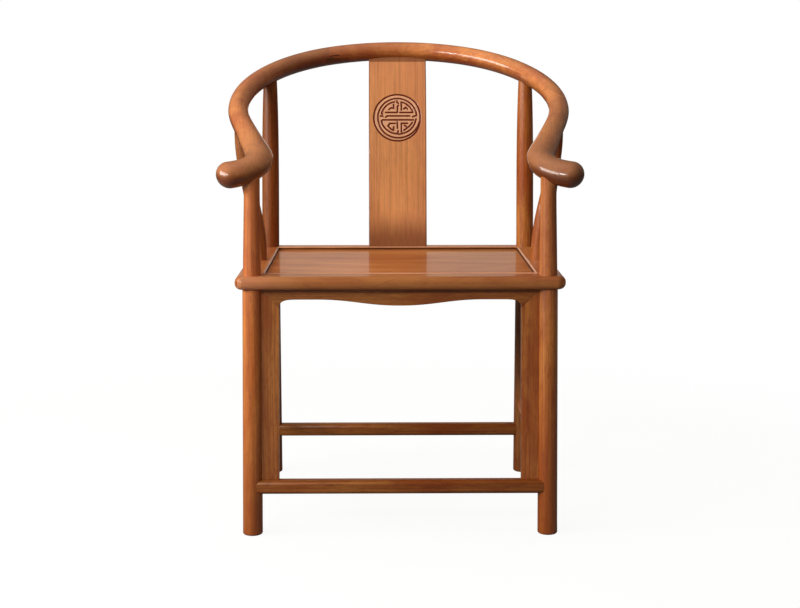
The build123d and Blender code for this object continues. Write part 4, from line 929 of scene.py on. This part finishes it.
# %% Cut the lines into a grid
SPLAT_WIDTH, SPLAT_THICKNESS, ARRIS = 0.1168, 0.012, 0.0014
MEDALLION_HEIGHT, MEDALLION_RADIUS = 0.2540, 49.5
IN_THE_SEAT, IN_THE_RAIL = 0.006, 0.010
FINE, COARSE, REACH, EDGE_COLUMNS = 0.0004, 0.006, 0.0505, 6
SEARCH = 4000  # steps in a metre
RIDGE_FROM, RIDGE_FADES = 1.2, 0.8  # millimetres from the middle of a cut

s_middle = next(s / SEARCH for s in range(SEARCH)
                if splat_place(s / SEARCH)[1] - SEAT_TOP > MEDALLION_HEIGHT)
face_half = SPLAT_WIDTH / 2 - ARRIS
columns = np.unique(np.concatenate([
    np.arange(-REACH, REACH, FINE),
    np.linspace(-face_half, -REACH, EDGE_COLUMNS), np.linspace(REACH, face_half, EDGE_COLUMNS)]))
rows = np.unique(np.concatenate([
    np.arange(-IN_THE_SEAT, s_middle - REACH, COARSE),
    np.arange(s_middle - REACH, s_middle + REACH, FINE),
    np.arange(s_middle + REACH, board_length - IN_THE_RAIL, COARSE)]))
grid_x, grid_y = np.meshgrid(columns * 1000, (rows - s_middle) * 1000)
gap = distance_to_lines(grid_x, grid_y, RINGS + FRET)
depth = cut_depth(gap) / 1000
inside = np.clip(MEDALLION_RADIUS - np.hypot(grid_x, grid_y), 0.0, 1.0)
# Ridges between the cuts are marked to be painted pale: partly rubbed wear, partly a painted
# highlight.
rubbed = np.clip((gap - RIDGE_FROM) / RIDGE_FADES, 0.0, 1.0) * inside
print(grid_x.shape, "points on the face, deepest cut", round(float(depth.max()) * 1000, 2), "mm")

# %% [markdown]
# ## The board behind the carving
# The carved face needs the rest of its board: two rounded edges and a plain back. A loop of points
# goes once round the board at each row, and faces join each loop to the next. Each point also
# carries three things for the finish: how deep it is cut, whether it lies on a ridge of the
# medallion, and its place in the board before bending.

# %% The loop round the board
BACK_COLUMNS = 7


def rounded(centre_x, centre_depth, start, steps=3):
    """The points of one rounded arris, as places across the board and into it."""
    angles = [start + pi / 2 * k / steps for k in range(steps + 1)]
    return [(centre_x + ARRIS * cos(a), centre_depth + ARRIS * sin(a)) for a in angles]


half = SPLAT_THICKNESS / 2
right_side = rounded(face_half, -half + ARRIS, -pi / 2)[1:] + rounded(face_half, half - ARRIS, 0.0)
left_side = rounded(-face_half, half - ARRIS, pi / 2) + rounded(-face_half, -half + ARRIS, pi)[:-1]
back = [(x, half) for x in np.linspace(face_half, -face_half, BACK_COLUMNS + 2)[1:-1]]
plain = right_side + back + left_side
loop_size = len(columns) + len(plain)
print(loop_size, "points in a loop,", len(plain), "of them behind the face")

# %% Build the board
points, flat_places, cuts, ridges, faces = [], [], [], [], []
for row, s in enumerate(rows):
    y, z, lean = splat_place(float(s))
    loop = [(x, -half + d) for x, d in zip(columns, depth[row])] + plain
    points += [(x, y + into * cos(lean), z - into * sin(lean)) for x, into in loop]
    flat_places += [value for x, into in loop for value in (x, into, s)]
    cuts += list(depth[row] * 1000 / GROOVE_DEPTH) + [0.0] * len(plain)
    ridges += list(rubbed[row]) + [0.0] * len(plain)
for row in range(len(rows) - 1):
    for k in range(loop_size):
        a, b = row * loop_size + k, row * loop_size + (k + 1) % loop_size
        faces.append((a, b, b + loop_size, a + loop_size))
faces += [list(range(loop_size))[::-1], [len(points) - loop_size + k for k in range(loop_size)]]
splat_mesh = bpy.data.meshes.new("carved_splat")
splat_mesh.from_pydata(points, [], faces)
splat_mesh.polygons.foreach_set("use_smooth", [True] * len(splat_mesh.polygons))
for name, values in (("carved", cuts), ("rubbed", ridges)):
    splat_mesh.attributes.new(name, "FLOAT", "POINT").data.foreach_set("value", values)
flat = splat_mesh.attributes.new("flat_place", "FLOAT_VECTOR", "POINT")
flat.data.foreach_set("vector", flat_places)
print(len(points), "points,", len(faces), "faces")

# %% Set the board in its place
splat = bpy.data.objects.new("carved_splat", splat_mesh)
bpy.context.scene.collection.objects.link(splat)
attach(splat, "root")
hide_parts("back_splat")
print("splat box", [round(v, 4) for v in splat.dimensions])

# %% [markdown]
# ## The finish of the splat
# The splat faces the light and the sitter's back. It is the palest board: partly its own paler
# tone, and partly a painted sheen. Lacquer gathers in the cuts and dries dark and dull there, and
# painted shade deepens them. The ridges between them are painted pale: partly rubbed by hands and
# cloths, and partly a painted highlight. The foot above the seat and the top under the rail are
# darkened as painted shade, and the two edges are darker too. These marks follow the carving and
# the height, so they are laid over the wood as masks, in the order in which they came. The long
# fibres are read from the place in the board before bending, so that they follow the bend.

# %% Wood for the splat
SPLAT_HEART, SPLAT_RING = (0.45, 0.30, 0.0), 0.0042
SPLAT_CONTRAST, SPLAT_FLAME, SPLAT_TONE = 1.05, 0.26, 1.38
CUT_EDGE, LONG_FIBRES = (0.05, 0.28), (0.03, 150.0, 4.0, 0.65)
SPLAT_LACQUER = (0.13, 0.55, 0.30)

cut = Board("splat_board", UP, SPLAT_HEART, ring=SPLAT_RING, contrast=SPLAT_CONTRAST,
            flamed=SPLAT_FLAME, flat="flat_place")
finish = cut.finish
depth_here = finish.node("Attribute", {"attribute_name": "carved"}, out="Fac")
carved = finish.step(depth_here, *CUT_EDGE)
ridge = finish.node("Attribute", {"attribute_name": "rubbed"}, out="Fac")
long_fibres = cut.figure(*LONG_FIBRES)
print("rings in the splat every", SPLAT_RING * 1000, "mm")

# %% Dark cuts, pale ridges and painted shade
CREST_UNDERSIDE = CREST_TOP - 2 * CREST_RADIUS
FOOT_EDGE, FOOT_FRAYED = (SEAT_TOP + 0.010, SEAT_TOP + 0.070), 0.05
HEAD_EDGE = (CREST_UNDERSIDE - 0.0045, CREST_UNDERSIDE - 0.0025)
ARRIS_EDGE = (SPLAT_WIDTH / 2 - 0.0028, SPLAT_WIDTH / 2 - 0.0010)
FIBRES_EDGE = (0.46, 0.74)
# Each layer is how much of its mask is used, and its colour.
# The first layer makes the whole board paler: partly its own tone, partly a painted sheen.
PALE_TONE_AND_SHEEN = (0.42, paint(232, 176, 128))
FIBROUS = (0.44, paint(158, 90, 44))
# The ridges are painted pale: partly wear, partly a painted highlight.
PALE_RIDGE_AND_HIGHLIGHT = (0.62, paint(246, 190, 150))
# The foot above the seat is darkened: painted shade.
SHADE_AT_FOOT = (0.74, paint(110, 50, 20))
# The two edges are darker, and the top under the rail is darkened as painted shade.
DARK_EDGES_AND_SHADE = (0.62, paint(84, 36, 14))
# The cuts are dark: lacquer pooled there, deepened by painted shade.
DARK_CUT_AND_SHADE = (0.92, paint(104, 20, 2))

x, _, height = cut.place.parts()
# Painted shade: darker towards the foot above the seat, and under the rail at the top.
foot_shade = 1.0 - finish.step(height + (long_fibres - 0.5) * FOOT_FRAYED, *FOOT_EDGE)
shade_under_rail = finish.step(height, *HEAD_EDGE)
arris = finish.step(finish.reckon("ABSOLUTE", x), *ARRIS_EDGE)
wood = finish.layered(
    bare_wood(cut, SPLAT_TONE),
    (1.0, *PALE_TONE_AND_SHEEN),
    (finish.step(long_fibres, *FIBRES_EDGE), *FIBROUS),
    (ridge, *PALE_RIDGE_AND_HIGHLIGHT),
    (foot_shade, *SHADE_AT_FOOT),
    (finish.reckon("MAXIMUM", arris, shade_under_rail), *DARK_EDGES_AND_SHADE),
    (carved, *DARK_CUT_AND_SHADE))
splat_mesh.materials.append(lacquered(cut, wood, *SPLAT_LACQUER, dull=carved))
print("the splat has its wood")

# %% [markdown]
# The visual pieces must stay inside the box of the solid ones.
